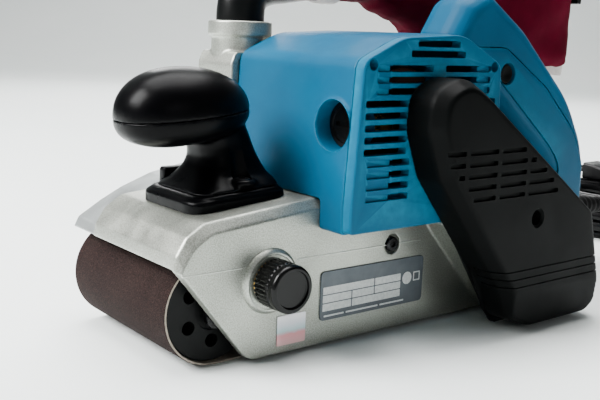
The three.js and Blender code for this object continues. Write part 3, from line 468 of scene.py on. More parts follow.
def softened(name, node, voxel, rounds, slot, look, **more):
    """A CAD node's shape with soft edges, finished in its place."""
    return finish(melt(cad_copy(name, node), voxel, rounds), slot, look, node, **more)


# ---- Materials ----

def srgb(r, g, b):
    """A shader colour from red, green and blue of 0 to 255."""
    def linear(c):
        c /= 255
        return c / 12.92 if c <= 0.04045 else ((c + 0.055) / 1.055) ** 2.4
    return (linear(r), linear(g), linear(b), 1)


class Look:
    """A node material with a Principled shader, built up a layer at a time. Colours are of 0 to 255."""

    def __init__(self, name, roughness=0.5, metallic=0.0, specular=0.5, coat=0.0, sheen=0.0):
        self.material = bpy.data.materials.new(name)
        self.material.use_nodes = True
        self.tree = self.material.node_tree
        self.shader = self.tree.nodes["Principled BSDF"].inputs
        numbers = {"Roughness": roughness, "Metallic": metallic, "Specular IOR Level": specular,
                   "Coat Weight": coat, "Coat Roughness": 0.15, "Sheen Weight": sheen}
        for socket, value in numbers.items():
            self.shader[socket].default_value = value
        self.place = self.node("ShaderNodeTexCoord", "Object")
        self.relief = None

    def node(self, kind, output, inputs=(), **settings):
        """Adds a node, whose inputs are numbers or other nodes' outputs, and gives one of its outputs."""
        made = self.tree.nodes.new(kind)
        for key, value in settings.items():
            setattr(made, key, value)
        for socket, value in dict(inputs).items():
            if isinstance(value, bpy.types.NodeSocket):
                self.tree.links.new(value, made.inputs[socket])
            else:
                made.inputs[socket].default_value = value
        return made.outputs[output]

    def noise(self, scale, detail=3.0, rough=0.55, stretch=None):
        place = self.place
        if stretch:
            place = self.node("ShaderNodeMapping", "Vector", {"Scale": stretch, "Vector": place})
        inputs = {"Scale": scale, "Detail": detail, "Roughness": rough, "Vector": place}
        return self.node("ShaderNodeTexNoise", "Fac", inputs)

    def cells(self, scale):
        return self.node("ShaderNodeTexVoronoi", "Distance", {"Scale": scale, "Vector": self.place})

    def waves(self, scale, direction, distortion=0.0):
        inputs = {"Scale": scale, "Distortion": distortion, "Vector": self.place}
        return self.node("ShaderNodeTexWave", "Fac", inputs, bands_direction=direction)

    def spread(self, value, low, high, to_low, to_high):
        inputs = {"From Min": low, "From Max": high, "To Min": to_low, "To Max": to_high, "Value": value}
        return self.node("ShaderNodeMapRange", "Result", inputs)

    def colours(self, value, *stops):
        """Colours a value through (position, colour) stops."""
        ramp = self.tree.nodes.new("ShaderNodeValToRGB")
        elements = ramp.color_ramp.elements
        while len(elements) < len(stops):
            elements.new(0.5)
        for element, (at, colour) in zip(elements, stops):
            element.position = at
            element.color = srgb(*colour)
        self.tree.links.new(value, ramp.inputs["Fac"])
        return ramp.outputs["Color"]

    def mottle(self, scale, detail, dark, light, low=0.3, high=0.7):
        return self.colours(self.noise(scale, detail), (low, dark), (high, light))

    def mix(self, fac, under, over):
        """Lays one colour over another."""
        return self.node("ShaderNodeMix", 2, {0: fac, 6: under, 7: srgb(*over)}, data_type="RGBA")

    def base(self, colour):
        self.tree.links.new(colour, self.shader["Base Color"])

    def gloss(self, value, low, high):
        self.tree.links.new(self.spread(value, 0.3, 0.7, low, high), self.shader["Roughness"])

    def bump(self, value, depth):
        """Adds relief of a depth in millimetres."""
        inputs = {"Strength": 1.0, "Distance": depth * MM, "Height": value}
        if self.relief is not None:
            inputs["Normal"] = self.relief
        self.relief = self.node("ShaderNodeBump", "Normal", inputs)
        self.tree.links.new(self.relief, self.shader["Normal"])

    def height(self):
        return self.node("ShaderNodeSeparateXYZ", "Z", {0: self.place})

    def painted_edge_highlight(self, colour, edge, low=0.52, high=0.58):
        """Mixes in an edge colour where the surface bends outwards, broken up by noise: a painted highlight
        along the edges.
        """
        bend = self.spread(self.node("ShaderNodeNewGeometry", "Pointiness"), low, high, 0, 1)
        return self.mix(self.mask(bend, self.noise(220, 6)), colour, edge)

    def shift(self, value, by, most):
        """The value, moved up or down by at most half of most."""
        inputs = {0: value, 1: self.spread(by, 0, 1, -most / 2, most / 2)}
        return self.node("ShaderNodeMath", 0, inputs, operation="ADD")

    def mask(self, a, b):
        return self.node("ShaderNodeMath", 0, {0: a, 1: b}, operation="MULTIPLY")


def plain_floor():
    look = Look("pale_floor", roughness=0.8, specular=0.1)
    look.base(look.mottle(2.2, 4, (240, 246, 244), (246, 250, 248), 0.3, 0.75))
    return look.material


def moulded(name, dark, light, grain=900, depth=0.03, rough=(0.36, 0.5), specular=0.5, edge=None):
    """Moulded plastic: slow colour drift, a fine etched grain and uneven gloss."""
    look = Look(name, specular=specular)
    colour = look.mottle(14, 4, dark, light, 0.35)
    # Where an edge colour is given, it is a painted highlight along the outward edges.
    if edge:
        colour = look.painted_edge_highlight(colour, edge)
    look.base(colour)
    look.gloss(look.noise(60, 5), *rough)
    look.bump(look.noise(grain, 2), depth)
    return look.material


def metal(name, dark, light, rough=(0.25, 0.4), metallic=0.9, grain=700, depth=0.01, stretch=None):
    look = Look(name, metallic=metallic)
    look.base(look.mottle(40, 5, dark, light, 0.3, 0.75))
    look.gloss(look.noise(120, 4, stretch=stretch), *rough)
    look.bump(look.noise(grain, 3, stretch=stretch), depth)
    return look.material


def cast_paint():
    """Silver paint over a casting: fine flakes, slow mottling and painted highlights along the edges."""
    look = Look("silver_paint", metallic=0.88)
    body = look.mottle(22, 5, (138, 141, 132), (162, 165, 156))
    body = look.mix(look.spread(look.noise(1500, 3), 0.4, 0.62, 0.0, 0.5), body, (204, 206, 198))
    body = look.mix(look.spread(look.noise(900, 2), 0.55, 0.7, 0.0, 0.3), body, (118, 120, 114))
    # Painted shade: the casting darkens over its lowest 12 mm, towards the floor.
    low = look.spread(look.height(), 0.0, 0.012, 0.45, 0.0)
    body = look.mix(low, body, (104, 102, 96))
    # A near-white painted highlight along the casting's outward edges.
    look.base(look.painted_edge_highlight(body, (236, 238, 232), 0.53, 0.62))
    look.gloss(look.noise(60, 5), 0.34, 0.5)
    look.bump(look.noise(1300, 3), 0.06)
    look.bump(look.noise(260, 3), 0.03)
    return look.material


def abrasive():
    """Brown grit on cloth, some grains catching the light."""
    look = Look("abrasive_grit", roughness=0.85, specular=0.1)
    body = look.colours(look.noise(1700, 3, 0.8), (0.36, (8, 4, 4)), (0.5, (22, 13, 12)),
                        (0.68, (64, 45, 41)))
    body = look.mix(look.spread(look.noise(30, 4), 0.45, 0.75, 0.0, 0.25), body, (50, 38, 34))
    sparks = look.spread(look.cells(1000), 0.0, 0.13, 0.5, 0.0)
    look.base(look.mix(sparks, body, (120, 102, 94)))
    look.bump(look.cells(1700), 0.2)
    look.bump(look.noise(420, 3), 0.12)
    return look.material


def belt_cloth():
    look = Look("belt_backing", roughness=0.9, specular=0.2)
    look.base(look.mottle(500, 3, (138, 128, 116), (176, 166, 152)))
    look.bump(look.waves(350, "Y"), 0.08)
    return look.material


def cork():
    look = Look("cork", roughness=0.9, specular=0.2)
    look.base(look.colours(look.cells(260), (0.0, (92, 62, 36)), (0.35, (165, 126, 80)),
                           (0.8, (188, 152, 104))))
    look.bump(look.cells(260), 0.15)
    return look.material


def banded(name, dark, light, scale, direction, metallic=0.7, depth=0.08):
    """Stacked sheets or wound wire."""
    look = Look(name, roughness=0.42, metallic=metallic)
    look.base(look.colours(look.waves(scale, direction, 0.6), (0.2, dark), (0.7, light)))
    look.bump(look.waves(scale, direction, 0.6), depth)
    return look.material


def label_ink():
    """The plate's dark foil, slightly uneven from its print."""
    look = Look("label_foil", roughness=0.38, metallic=0.25)
    look.base(look.mottle(90, 5, (70, 77, 83), (86, 93, 99)))
    look.gloss(look.noise(300, 3), 0.32, 0.45)
    look.bump(look.noise(1500, 2), 0.01)
    return look.material


def label_white():
    look = Look("label_print", roughness=0.5)
    look.base(look.mottle(700, 3, (186, 190, 190), (212, 214, 212)))
    look.bump(look.noise(1500, 2), 0.01)
    return look.material


def sticker_film():
    """A shiny film, white at the top, then pale blue, with a pink band below."""
    look = Look("sticker_film", roughness=0.26, coat=0.4)
    height = look.spread(look.height(), 0.0064, 0.0224, 0.0, 1.0)
    height = look.shift(height, look.noise(160, 3), 0.16)
    look.base(look.colours(height, (0.0, (226, 176, 178)), (0.34, (222, 150, 156)), (0.46, (176, 204, 208)),
                           (0.7, (214, 218, 226)), (0.9, (236, 236, 240))))
    look.bump(look.noise(500, 3), 0.02)
    return look.material


def bag_cloth():
    """Plain weave in dark red with uneven dye and a soft nap."""
    look = Look("bag_weave", roughness=0.9, specular=0.04)
    body = look.mottle(26, 6, (72, 0, 20), (104, 4, 36))
    threads = look.mask(look.waves(420, "X"), look.waves(420, "Z"))
    look.base(look.mix(look.spread(threads, 0.0, 0.6, 0.5, 0.0), body, (38, 0, 9)))
    look.bump(look.waves(420, "X", 0.3), 0.09)
    look.bump(look.waves(420, "Z", 0.3), 0.09)
    look.bump(look.noise(130, 4), 0.25)
    return look.material


def hem_tape():
    look = Look("hem_tape", roughness=0.85, specular=0.25, sheen=0.2)
    body = look.mottle(120, 4, (196, 188, 184), (226, 220, 216))
    look.base(look.mix(look.spread(look.waves(300, "DIAGONAL"), 0.0, 0.5, 0.35, 0.0), body, (150, 140, 138)))
    look.bump(look.waves(300, "DIAGONAL"), 0.12)
    return look.material


LOOKS = {
    "paint": cast_paint(),
    "guard": metal("guard_metal", (138, 142, 142), (176, 181, 180), (0.34, 0.5), 0.6, 900, 0.03),
    "steel": metal("bright_steel", (150, 152, 154), (205, 206, 207), stretch=(1, 30, 1)),
    "roller": metal("roller_metal", (120, 122, 124), (178, 180, 182)),
    "brass": metal("brass", (150, 112, 48), (212, 178, 98)),
    # The edge colours below are painted highlights along outward edges.
    "teal": moulded("teal_plastic", (0, 68, 98), (0, 80, 112), 1100, 0.035, (0.38, 0.5), 0.1,
                    edge=(6, 116, 146)),
    "black": moulded("black_plastic", (3, 4, 4), (7, 8, 8), 1300, 0.045, (0.38, 0.5), 0.04,
                     edge=(40, 42, 41)),
    "grip": moulded("grip_plastic", (1, 1, 2), (3, 3, 4), 600, 0.006, (0.27, 0.35), 0.06,
                    edge=(30, 30, 32)),
    "knob": moulded("knob_plastic", (3, 3, 3), (7, 7, 7), 1200, 0.02, (0.18, 0.28), 0.18),
    "roller_dark": moulded("roller_dark", (6, 7, 7), (12, 13, 13), 800, 0.04, (0.4, 0.54), 0.12),
    "elbow": moulded("elbow_plastic", (4, 5, 6), (9, 10, 10), 900, 0.03, (0.28, 0.4), 0.14,
                     edge=(50, 52, 50)),
    "rubber": moulded("rubber", (8, 8, 8), (16, 16, 16), 500, 0.06, (0.55, 0.7), 0.1),
    "cord": moulded("cord_jacket", (4, 4, 5), (8, 8, 9), 700, 0.02, (0.26, 0.38), 0.18),
    "screw": metal("black_screw", (8, 8, 9), (20, 20, 22), (0.25, 0.4), 0.5),
    "abrasive": abrasive(),
    "belt_back": belt_cloth(),
    "cork": cork(),
    # The copper colours are those of varnished wire, darkened further as painted shade for the windings
    # inside the housing.
    "copper": banded("copper_wire", (20, 9, 5), (66, 34, 18), 900, "Y", 0.6, 0.2),
    "laminations": banded("laminations", (22, 23, 25), (64, 66, 70), 1200, "Y"),
    "carbon": moulded("carbon", (24, 24, 25), (44, 44, 46), 1500, 0.05, (0.5, 0.65)),
    "foil": label_ink(),
    "print": label_white(),
    "film": sticker_film(),
    "bag": bag_cloth(),
    "tape": hem_tape(),
}


# ---- Cord ----

def clamped(value):
    return min(max(value, 0.0), 1.0)


def eased(u):
    u = clamped(u)
    return 2 * u * u if u < 0.5 else 1 - 2 * (1 - u) ** 2


def coil_points(per_turn=30):
    """The coil's centreline: down its outer column of turns, up the next, down the third, up the inner one,
    then up on top of the turns. Each turn lies a diameter from its neighbours. A climb or a shift between
    turns takes a quarter of a turn."""
    climb, shift = 0.25, 0.25
    heights, radii = [], []
    first = 1 - climb
    for column in range(len(COIL_RADII)):
        way = -1 if column % 2 == 0 else 1
        heights += [(first + k, climb, way * CORD_D) for k in range(COIL_LAYERS - 1)]
        last = first + COIL_LAYERS - 2
        if column < len(COIL_RADII) - 1:
            radii.append((last + 1 - shift, shift, -CORD_D))
        first = last + 2 - shift - climb
    heights.append((last + 1 - shift, shift, CORD_D))
    turns = last + 1
    points = []
    count = round(turns * per_turn)
    for k in range(count + 1):
        t = turns * k / count
        r = COIL_RADII[0] + sum(by * eased((t - at) / over) for at, over, by in radii)
        z = (COIL_LAYERS - 0.5) * CORD_D + sum(by * eased((t - at) / over) for at, over, by in heights)
        a = COIL_START + tau * t
        points.append((COIL_MID[0] + r * cos(a), COIL_MID[1] + r * sin(a), z))
    return points


def make_cord():
    points = [*CORD_ROUTE, *coil_points(), (PLUG_X, PLUG_BACK_Y + 4, 39.2), (PLUG_X, PLUG_BACK_Y - 3, 39.3)]
    curve = bpy.data.curves.new("mains_lead", "CURVE")
    curve.dimensions = "3D"
    curve.bevel_depth = CORD_D / 2 * MM
    curve.bevel_resolution = 5
    curve.use_fill_caps = True
    spline = curve.splines.new("POLY")
    spline.points.add(len(points) - 1)
    for point, place in zip(spline.points, points):
        point.co = (*(Vector(place) * MM), 1)
    spline.use_smooth = True
    lead = link("mains_lead", curve)
    curve.materials.append(LOOKS["cord"])
    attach(lead, "chassis")
    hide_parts("cord", "cord_coil")
    length = sum((Vector(b) - Vector(a)).length for a, b in zip(points, points[1:])) * MM
    return lead, length


def make_plug():
    plug = softened("mains_plug", "plug", 0.6, 5, "cord_jacket", "cord")
    make_cord_guard()
    return plug


def make_cord_guard():
    """The ribbed guard that the cord leaves the tool through, with its flange."""
    per_rib = 8
    profile = []
    for i in range(GUARD_RIBS * per_rib + 1):
        along = GUARD_LENGTH * i / (GUARD_RIBS * per_rib)
        groove = 0.7 * (0.5 - 0.5 * cos(tau * i / per_rib)) if 4 < along < 39 else 0
        profile.append((along, 8.2 - 2.4 * along / GUARD_LENGTH - groove))
    guard = turned("cord_guard_ribbed", "x", (0, 0, 0), profile, 40)
    guard.data.transform(Matrix.Rotation(pi - GUARD_DROP, 4, "Y"))
    guard.data.transform(Matrix.Translation(Vector(GUARD_AT) * MM))
    flange = turned("guard_flange", "x", (-206.5, 30, 50.3), [(0, 8.2), (0.8, 10), (3.8, 10), (4.4, 9.4)], 40)
    finish(join("cord_guard_ribbed", [outward(guard), flange]), "rubber", "rubber", "cord_guard")


# ---- Frame, belt and rollers ----

def make_frame():
    body = melt(cad_copy("cast_frame", "frame_casting"), 0.8, 3)
    low, high = 50.6, 51.4
    y0, y1 = WALL_OUT_Y - 1, WALL_OUT_Y + 0.3
    lines = [slab("line", box_outline(rear, front, low, high, 0.3), y0, y1, 0, 0.25, 3)
             for front, rear in PARTING_LINES]
    body = join("cast_frame", [body, *lines])
    finish(body, "cast_frame", "paint", "frame_casting", angle=50)
    ring = turned("knob_ring", "y", (KNOB[0], 59.6, KNOB[1]), [
        (0, 17), (0.5, 17), (1.4, 16.6), (2.4, 15.9), (3, 15), (2.9, 14.2), (2, 13.8), (0.2, 13.7), (0, 13.7),
    ], 96)
    finish(ring, "cast_frame", "paint")
    sleeve = turned("knob_sleeve", "y", (KNOB[0], 60.3, KNOB[1]), [
        (0, 11.2), (0.5, 11.6), (1, 11.1), (1.5, 11.6), (2, 11.1), (2, 3.4), (0, 3.4),
    ], 72)
    finish(sleeve, "brass", "brass")
    softened("belt_guard_fin", "right_guard", 0.6, 3, "guard_metal", "guard", angle=50)


def make_belt():
    arc_steps = 56
    rim = []
    for centre, start in ((AXLE_X, -pi / 2), (-AXLE_X, pi / 2)):
        for k in range(arc_steps + 1):
            a = start + pi * k / arc_steps
            rim.append((centre, cos(a), sin(a)))
    count = len(rim)
    side = [(BELT_OUT_R - 0.25, BELT_HALF), (BELT_OUT_R, BELT_HALF - 0.3), (BELT_OUT_R, 30), (BELT_OUT_R, 10)]
    section = [(BELT_IN_R, -BELT_HALF), (BELT_IN_R, BELT_HALF), *side, *((r, -y) for r, y in reversed(side))]
    verts = [Vector((cx + r * c, y, AXLE_Z + r * s)) * MM for cx, c, s in rim for r, y in section]
    wide = len(section)
    faces, backing = [], []
    for i in range(count):
        j = (i + 1) % count
        for k in range(wide):
            m = (k + 1) % wide
            faces.append((i * wide + k, i * wide + m, j * wide + m, j * wide + k))
            backing.append(1 if k in (0, 1, wide - 1) else 0)
    mesh = bpy.data.meshes.new("abrasive_loop")
    mesh.from_pydata(verts, [], faces)
    belt = outward(link("abrasive_loop", mesh))
    finish(belt, "abrasive_belt", "abrasive", "sanding_belt")
    belt.data.materials.append(LOOKS["belt_back"])
    belt.data.polygons.foreach_set("material_index", backing)


def make_front_roller():
    x, z = AXLE_X, AXLE_Z
    end = [(ROLLER_HALF - 1, ROLLER_R), (ROLLER_HALF - 0.3, ROLLER_R - 0.3), (ROLLER_HALF, ROLLER_R - 1)]
    ends = [(-y, r) for y, r in reversed(end)] + end
    roller = turned("idler_roller", "y", (x, 0, z), ends, 96)
    cutters = [rod("y", (x, 0, z), -60, 60, 5.3)]
    for side in (1, -1):
        cutters.append(turned("dish", "y", (x, side * 49, z), [(-side * 1.7, 10.2), (side * 1, 10.8)], 64))
    for i in range(ROLLER_HOLES):
        a = tau * i / ROLLER_HOLES - radians(28)
        at = (x + 15.9 * cos(a), 0, z + 15.9 * sin(a))
        cutters.append(rod("y", at, -60, 60, 3.6, 32))
    cut(roller, *cutters)
    finish(roller, "dark_roller", "roller_dark", "front_roller", body="front_roller")


def make_knob():
    ribs = 32

    def grip(along, angle):
        return -0.55 * (0.5 - 0.5 * cos(ribs * angle)) ** 2 if 1.2 < along < 13.2 else 0

    profile = [
        (-7.2, 3), (1.9, 3), (2.4, 9), (2.45, 11.4), (3, 12.2), (4, 12.5), (6, 12.5), (9, 12.5), (12, 12.5),
        (13.1, 12.4), (13.6, 11.7), (14.2, 11.7), (14.6, 12.3), (17.4, 12.3), (18.6, 12), (19.3, 11.2),
        (19.5, 10.4), (19.3, 9.7), (18.2, 9.4), (17.9, 8.9), (17.9, 0.4),
    ]
    knob = turned("knob_turned", "y", (KNOB[0], 60, KNOB[1]), profile, 192, grip)
    finish(knob, "knob_plastic", "knob", "tracking_knob", angle=40, body="tracking_knob")


def make_nameplate():
    x0, x1, z0, z1 = LABEL
    plate = slab("label_plate", box_outline(x0, x1, z0, z1, 3), WALL_OUT_Y + GAP, WALL_OUT_Y + 0.9, 0, 0.2)
    finish(plate, "plate_label", "foil", "nameplate")
    y0, y1 = WALL_OUT_Y + 0.85, WALL_OUT_Y + 0.98
    cells = []
    for low, high, spans in LABEL_ROWS:
        for front, rear in spans:
            cells.append(slab("cell", box_outline(rear, front, low, high, 0.3), y0, y1, steps=3))
    cells.append(rod("y", (-14, 0, 30), y0, y1, 3.6))
    window = slab("window", box_outline(-24.2, -19, 27.6, 33, 0.4), y0, y1, steps=3)
    cells.append(cut(window, slab("open", box_outline(-23.5, -19.7, 28.3, 32.3), y0 - 1, y1 + 1)))
    finish(join("label_cells", cells), "plate_label", "print")


def make_sticker():
    y0, y1 = WALL_OUT_Y + 0.35, WALL_OUT_Y + 0.6
    film = slab("label_film", box_outline(59, 77.5, 6.4, 22.4, 0.8), y0, y1, 0, 0.1)
    finish(film, "sticker_film", "film", "sticker")


def make_frame_screw():
    screw = turned("frame_screw_head", "y", (-2, 58, 51), [
        (-8, 2), (0, 2), (0.05, 4.2), (1.9, 4.2), (2.5, 3.7), (2.6, 3.3),
    ], 48)
    cut(screw, rod("y", (-2, 59.2, 51), 0, 3, 2, 6))
    finish(screw, "black_screw", "screw", "frame_screw")


# ---- Motor housing ----

def skirted(low):
    """The housing's outline, carried down to a lower edge."""
    front, rear = HOUSING[0], HOUSING[-1]
    return [(front[0], low, 3), *HOUSING, (rear[0], low, 3)]


def brush_bosses():
    """The round housings of the two brush caps, as separate bodies."""
    return [rod("x", (x0, BRUSH_Y, BRUSH_Z), 0, x1 - x0, 13.2, 56) for x0, x1 in ((34, 52), (-57, -40))]


def make_housing():
    main = slab("main", HOUSING, HOUSING_RIGHT_Y, WALL_OUT_Y + 2, 2.5, 0, 12)
    skirt = slab("skirt", skirted(65.5), WALL_OUT_Y + GAP, PANEL_IN_Y - GAP, 0, 0.4, 12)
    body = melt(join("housing_shell", [main, skirt, *brush_bosses()]), 0.9, 4)
    inner = slab("inner", inset(HOUSING, 3.2), HOUSING_RIGHT_Y - 1, PANEL_IN_Y + 1, steps=12)
    cut(body, cut(inner, *brush_bosses()))
    for _, face, way in BRUSHES:
        at = (face, BRUSH_Y, BRUSH_Z)
        bore = [(-6 * way, 12.6), (7.2 * way, 12.6), (9 * way, 13.6), (20 * way, 13.6)]
        cut(body, turned("bore", "x", at, bore, 56))
        cut(body, rod("x", at, -20 * way, 2 * way, 5, 32))
    finish(body, "teal_plastic", "teal", "motor_housing", angle=38)
    for name, face, way in BRUSHES:
        cap = turned("cap_" + name, "x", (face, BRUSH_Y, BRUSH_Z), [
            (-4.8 * way, 12.2), (-0.6 * way, 12.2), (0, 11.7), (0, 9.6), (-0.7 * way, 9.2), (-0.7 * way, 0.3),
        ], 56)
        cut(cap, block("slot", face - 2, face + 2, 58.5, 73.5, BRUSH_Z - 1.2, BRUSH_Z + 1.2))
        finish(cap, "black_plastic", "knob", "brush_cap_" + name)


def slot_cutter(x0, x1, z, deep=PANEL_IN_Y - 2):
    return slab("slot", box_outline(x0, x1, z - 1.75, z + 1.75, 1.2), deep, PANEL_OUT_Y + 2, steps=5)


def make_end_panel():
    panel = slab("end_panel", inset(skirted(66.5), 0.3), PANEL_IN_Y, PANEL_OUT_Y, 0, 1.3, 12)
    cut(panel, join("slots", [slot_cutter(*slot) for slot in PANEL_THROUGH]))
    cut(panel, join("slots", [slot_cutter(*slot, BLIND_SLOT_Y) for slot in PANEL_BLIND]))
    cutters = [rod("y", COVER_SCREW, 70, 90, 9), rod("y", MOTOR, 70, 90, 6.5)]
    for x, z in PANEL_SCREWS:
        cutters.append(turned("screw_hole", "y", (x, 0, z), [(70, 2.6), (84.2, 2.6), (86, 3.3)], 32))
    cut(panel, join("holes", cutters))
    boss = rod("y", MOTOR, 75, 79.4, 14, 56)
    cut(boss, rod("y", MOTOR, 70, 90, 11.3, 56))
    panel = join("end_panel", [panel, boss])
    finish(panel, "teal_plastic", "teal", "motor_end_cover", angle=38)


# ---- Belt cover ----

def cover_shell(name, shrink, y0, y1):
    """The cover's upper body: straight walls, then a bevel with two softened edges round its face."""
    edge = [(-3.2, 10), (-2.9, 7.6), (-2.2, 6.3), (0.7, 1.1), (1.5, 0.3), (2.8, 0)]
    rings = [across(inset(COVER_FACE, shrink - 3.2), y0)]
    rings += [across(inset(COVER_FACE, shrink + d), y1 - back) for d, back in edge]
    return loft(name, rings)


def lower_bevel(depth):
    """What is cut off the lower end of the cover's face."""
    wedge = block("bevel", -65, 65, 0, 20, -60, 0)
    wedge.data.transform(Matrix.Rotation(radians(-13.4), 4, "X"))
    wedge.data.transform(Matrix.Translation(Vector((-85, COVER_OUT_Y - depth, 27)) * MM))
    return wedge


def cover_foot(name, shrink, y0):
    return loft(name, [across(inset(COVER_FOOT_LOW, shrink), y0), across(inset(COVER_FOOT_HIGH, shrink), 88)])


def make_belt_cover():
    outer = cut(cover_shell("cover", 0, PANEL_OUT_Y + GAP, COVER_OUT_Y), lower_bevel(0))
    body = melt(join("drive_cover", [outer, cover_foot("foot", 0, 70.3)]), 0.8, 3)
    inside = cover_shell("inside", COVER_WALL, PANEL_OUT_Y - 1, COVER_OUT_Y - COVER_WALL)
    cut(inside, lower_bevel(COVER_WALL))
    cut(body, inside, cover_foot("inside", COVER_WALL, 69))
    slots = []
    for z, front, rear in COVER_SLOTS:
        edges = [front] + [e for e in COVER_BREAKS if rear + 4 < e < front - 4] + [rear]
        for i in range(len(edges) - 1):
            x1, x0 = edges[i] - (3 if i else 0), edges[i + 1]
            outline = box_outline(x0, x1, z - 1.3, z + 1.3, 0.9)
            slots.append(slab("slot", outline, COVER_SLOT_Y, COVER_OUT_Y + 2, steps=4))
    cut(body, join("slots", slots))
    for z in (40.4, 35.6, 30.8):
        groove = block("groove", -142, -20, 92, 114, z - 0.5, z + 0.5)
        cut(groove, cover_shell("core", 0.75, PANEL_OUT_Y, COVER_OUT_Y - 0.75))
        cut(body, groove)
    cut(body, turned("recess", "y", COVER_SCREW, [(100, 4.6), (108.6, 4.9), (112, 6.4)], 48))
    sleeve = turned("sleeve", "y", COVER_SCREW, [(70.3, 5), (108.6, 5.4)], 48)
    cut(sleeve, turned("recess", "y", COVER_SCREW, [(98, 4), (112, 4.6)], 48))
    cut(sleeve, rod("y", COVER_SCREW, 60, 112, 2.3, 32))
    finish(join("drive_cover", [body, sleeve]), "black_plastic", "black", "belt_cover", angle=38)
    screw = turned("cover_screw", "y", COVER_SCREW, [
        (58, 2), (98.2, 2), (98.3, 3.4), (100.4, 3.4), (101, 2.7), (101, 0.3),
    ], 40)
    x, _, z = COVER_SCREW
    cross = [block("cross", x - a, x + a, 99.8, 103, z - b, z + b) for a, b in ((2, 0.4), (0.4, 2))]
    cut(screw, *cross)
    finish(screw, "black_screw", "screw", "belt_cover_screw")


# ---- Handle ----

def bar_axes():
    """The start and directions of the handle's bar, over the loop's upper edge."""
    top, rear = Vector(LOOP_HOLE[0][:2]), Vector(LOOP_HOLE[1][:2])
    along = (rear - top).normalized()
    return top, along, Vector((-along.y, along.x))


def on_bar(along_by, out_by):
    top, along, out = bar_axes()
    return tuple(top + along * along_by + out * out_by)


def make_handle():
    flank = [(12, 8.5), (13, 5.2), (15, 2.6), (18, 0.8), (22, 0), (34, 0), (38.5, 0.8), (42.5, 2.8),
             (45, 5.2), (46.2, 7.5), (46.6, 10)]
    shell = loft("handle_body", [across(inset(HANDLE, d), y) for y, d in flank])
    hole = [(11, -7.5), (13, -4.6), (15.5, -2.2), (19, -0.6), (22, 0), (34, 0), (38.5, -0.6), (42.5, -2.6),
            (45, -5), (47.5, -8)]
    cut(shell, loft("hole", [across(inset(LOOP_HOLE, d), y) for y, d in hole]))
    cut(shell, slab("clear", inset(HOUSING, -GAP), 7, 54, steps=12))
    melt(shell, 0.9, 5)
    recess = slab("recess", inset(HANDLE_PLATE, -0.5), 44.8, 52)
    cut(recess, slab("hole", inset(LOOP_HOLE, -9), 40, 56))
    cut(shell, recess)
    cut(shell, slab("pocket", [on_bar(3, -5), on_bar(72, -5), on_bar(72, -30), on_bar(3, -30)], 18, 45))
    cut(shell, slab("window", [on_bar(4, 12), on_bar(57, 12), on_bar(57, -6), on_bar(4, -6)], 21.4, 37.6))
    finish(shell, "teal_plastic", "teal", "handle_shell", angle=38)
    crown = [(45.1, 0.2), (46.4, 0.2), (46.9, 0.6), (47.2, 1.4), (47.4, 3)]
    plate = loft("handle_side", [across(inset(HANDLE_PLATE, d), y) for y, d in crown])
    cut(plate, slab("hole", inset(LOOP_HOLE, -9.4), 40, 56))
    cut(plate, slab("clear", inset(HOUSING, -1.2), 7, 54, steps=12))
    button = on_bar(*LOCK_PLACE)
    cut(plate, turned("button_hole", "y", (button[0], 0, button[1]), [(30, 6.6), (46.6, 6.6), (48, 7.4)], 48))
    finish(plate, "teal_plastic", "teal", "handle_cover", angle=38)
    lock = turned("lock_push", "y", (button[0], 0, button[1]), [
        (40.6, 5.9), (45.6, 5.9), (46.3, 5.4), (46.5, 4.6), (46.1, 3), (46, 0.3),
    ], 48)
    finish(lock, "black_plastic", "black", "lock_button", body="lock_button")
    softened("trigger_lever", "trigger", 0.5, 8, "black_plastic", "black", body="trigger", angle=50)


# ---- Front grip ----

def powered(value, power):
    """A power of a number's size, with the number's sign."""
    return copysign(abs(value) ** power, value)


def grip_head(name):
    """An egg with a blunt front, tallest above its parting line and towards its front."""
    rings = []
    steps, sides = 44, 88
    for k in range(1, steps):
        a = -pi / 2 + pi * k / steps
        tall, full = (24, 2 / 2.15) if a > 0 else (14.8, 2 / 2.6)
        z = powered(sin(a), full) * tall
        reach = cos(a) ** full
        ring = []
        for i in range(sides):
            b = tau * i / sides
            blunt = 2 / (2.35 if cos(b) > 0 else 2.0)
            c = powered(cos(b), blunt)
            s = powered(sin(b), blunt)
            taper = 1 + 0.1 * c * reach
            y = GRIP_HALF_WIDTH * reach * s * (1 + 0.04 * c)
            p = Vector((GRIP_HALF_LENGTH * reach * c, y, z * taper))
            p.rotate(Matrix.Rotation(GRIP_TILT, 3, "Y"))
            ring.append(p + Vector(GRIP_MID))
        rings.append(ring)
    return loft(name, rings)


def half_space(name, upper, gap=0.12):
    """The space above or below the grip's parting line, less a small gap."""
    low, high = (gap, 60) if upper else (-60, -gap)
    slice_block = block(name, -60, 60, -45, 45, low, high)
    slice_block.data.transform(Matrix.Rotation(GRIP_TILT, 4, "Y"))
    slice_block.data.transform(Matrix.Translation(Vector(GRIP_MID) * MM))
    return slice_block


def level_ring(x0, x1, y0, y1, r, z):
    return [(p.x, p.y, z) for p in rounded(box_outline(x0, x1, y0, y1, r), 12)]


def along_deck(ring):
    """Tips a level ring down towards the front, as the deck does."""
    return [(x, y, z - DECK_SLOPE * (x - DECK_MID_X)) for x, y, z in ring]


# Rings of the grip's stem, from the deck up: limits in x and y, corner radius and z. The base's rings slope.
STEM_BASE = (
    (59.6, 113, -11.8, 41.4, 13, 84.9),
    (59.9, 110, -10.2, 39.8, 13, 86.4),
    (60.6, 107, -8, 37.2, 13, 88.6),
)
STEM = (
    (61.6, 103.6, -5, 34, 13, 91.6),
    (63.4, 101.2, -2.6, 31.4, 13, 95.6),
    (65.8, 100.1, -1, 29.8, 13, 100.6),
    (68.4, 100.6, -0.2, 28.8, 12, 106),
    (71, 103.4, -0.4, 28.7, 12, 112),
    (75, 108, 0.5, 28.5, 12, 120.5),
)


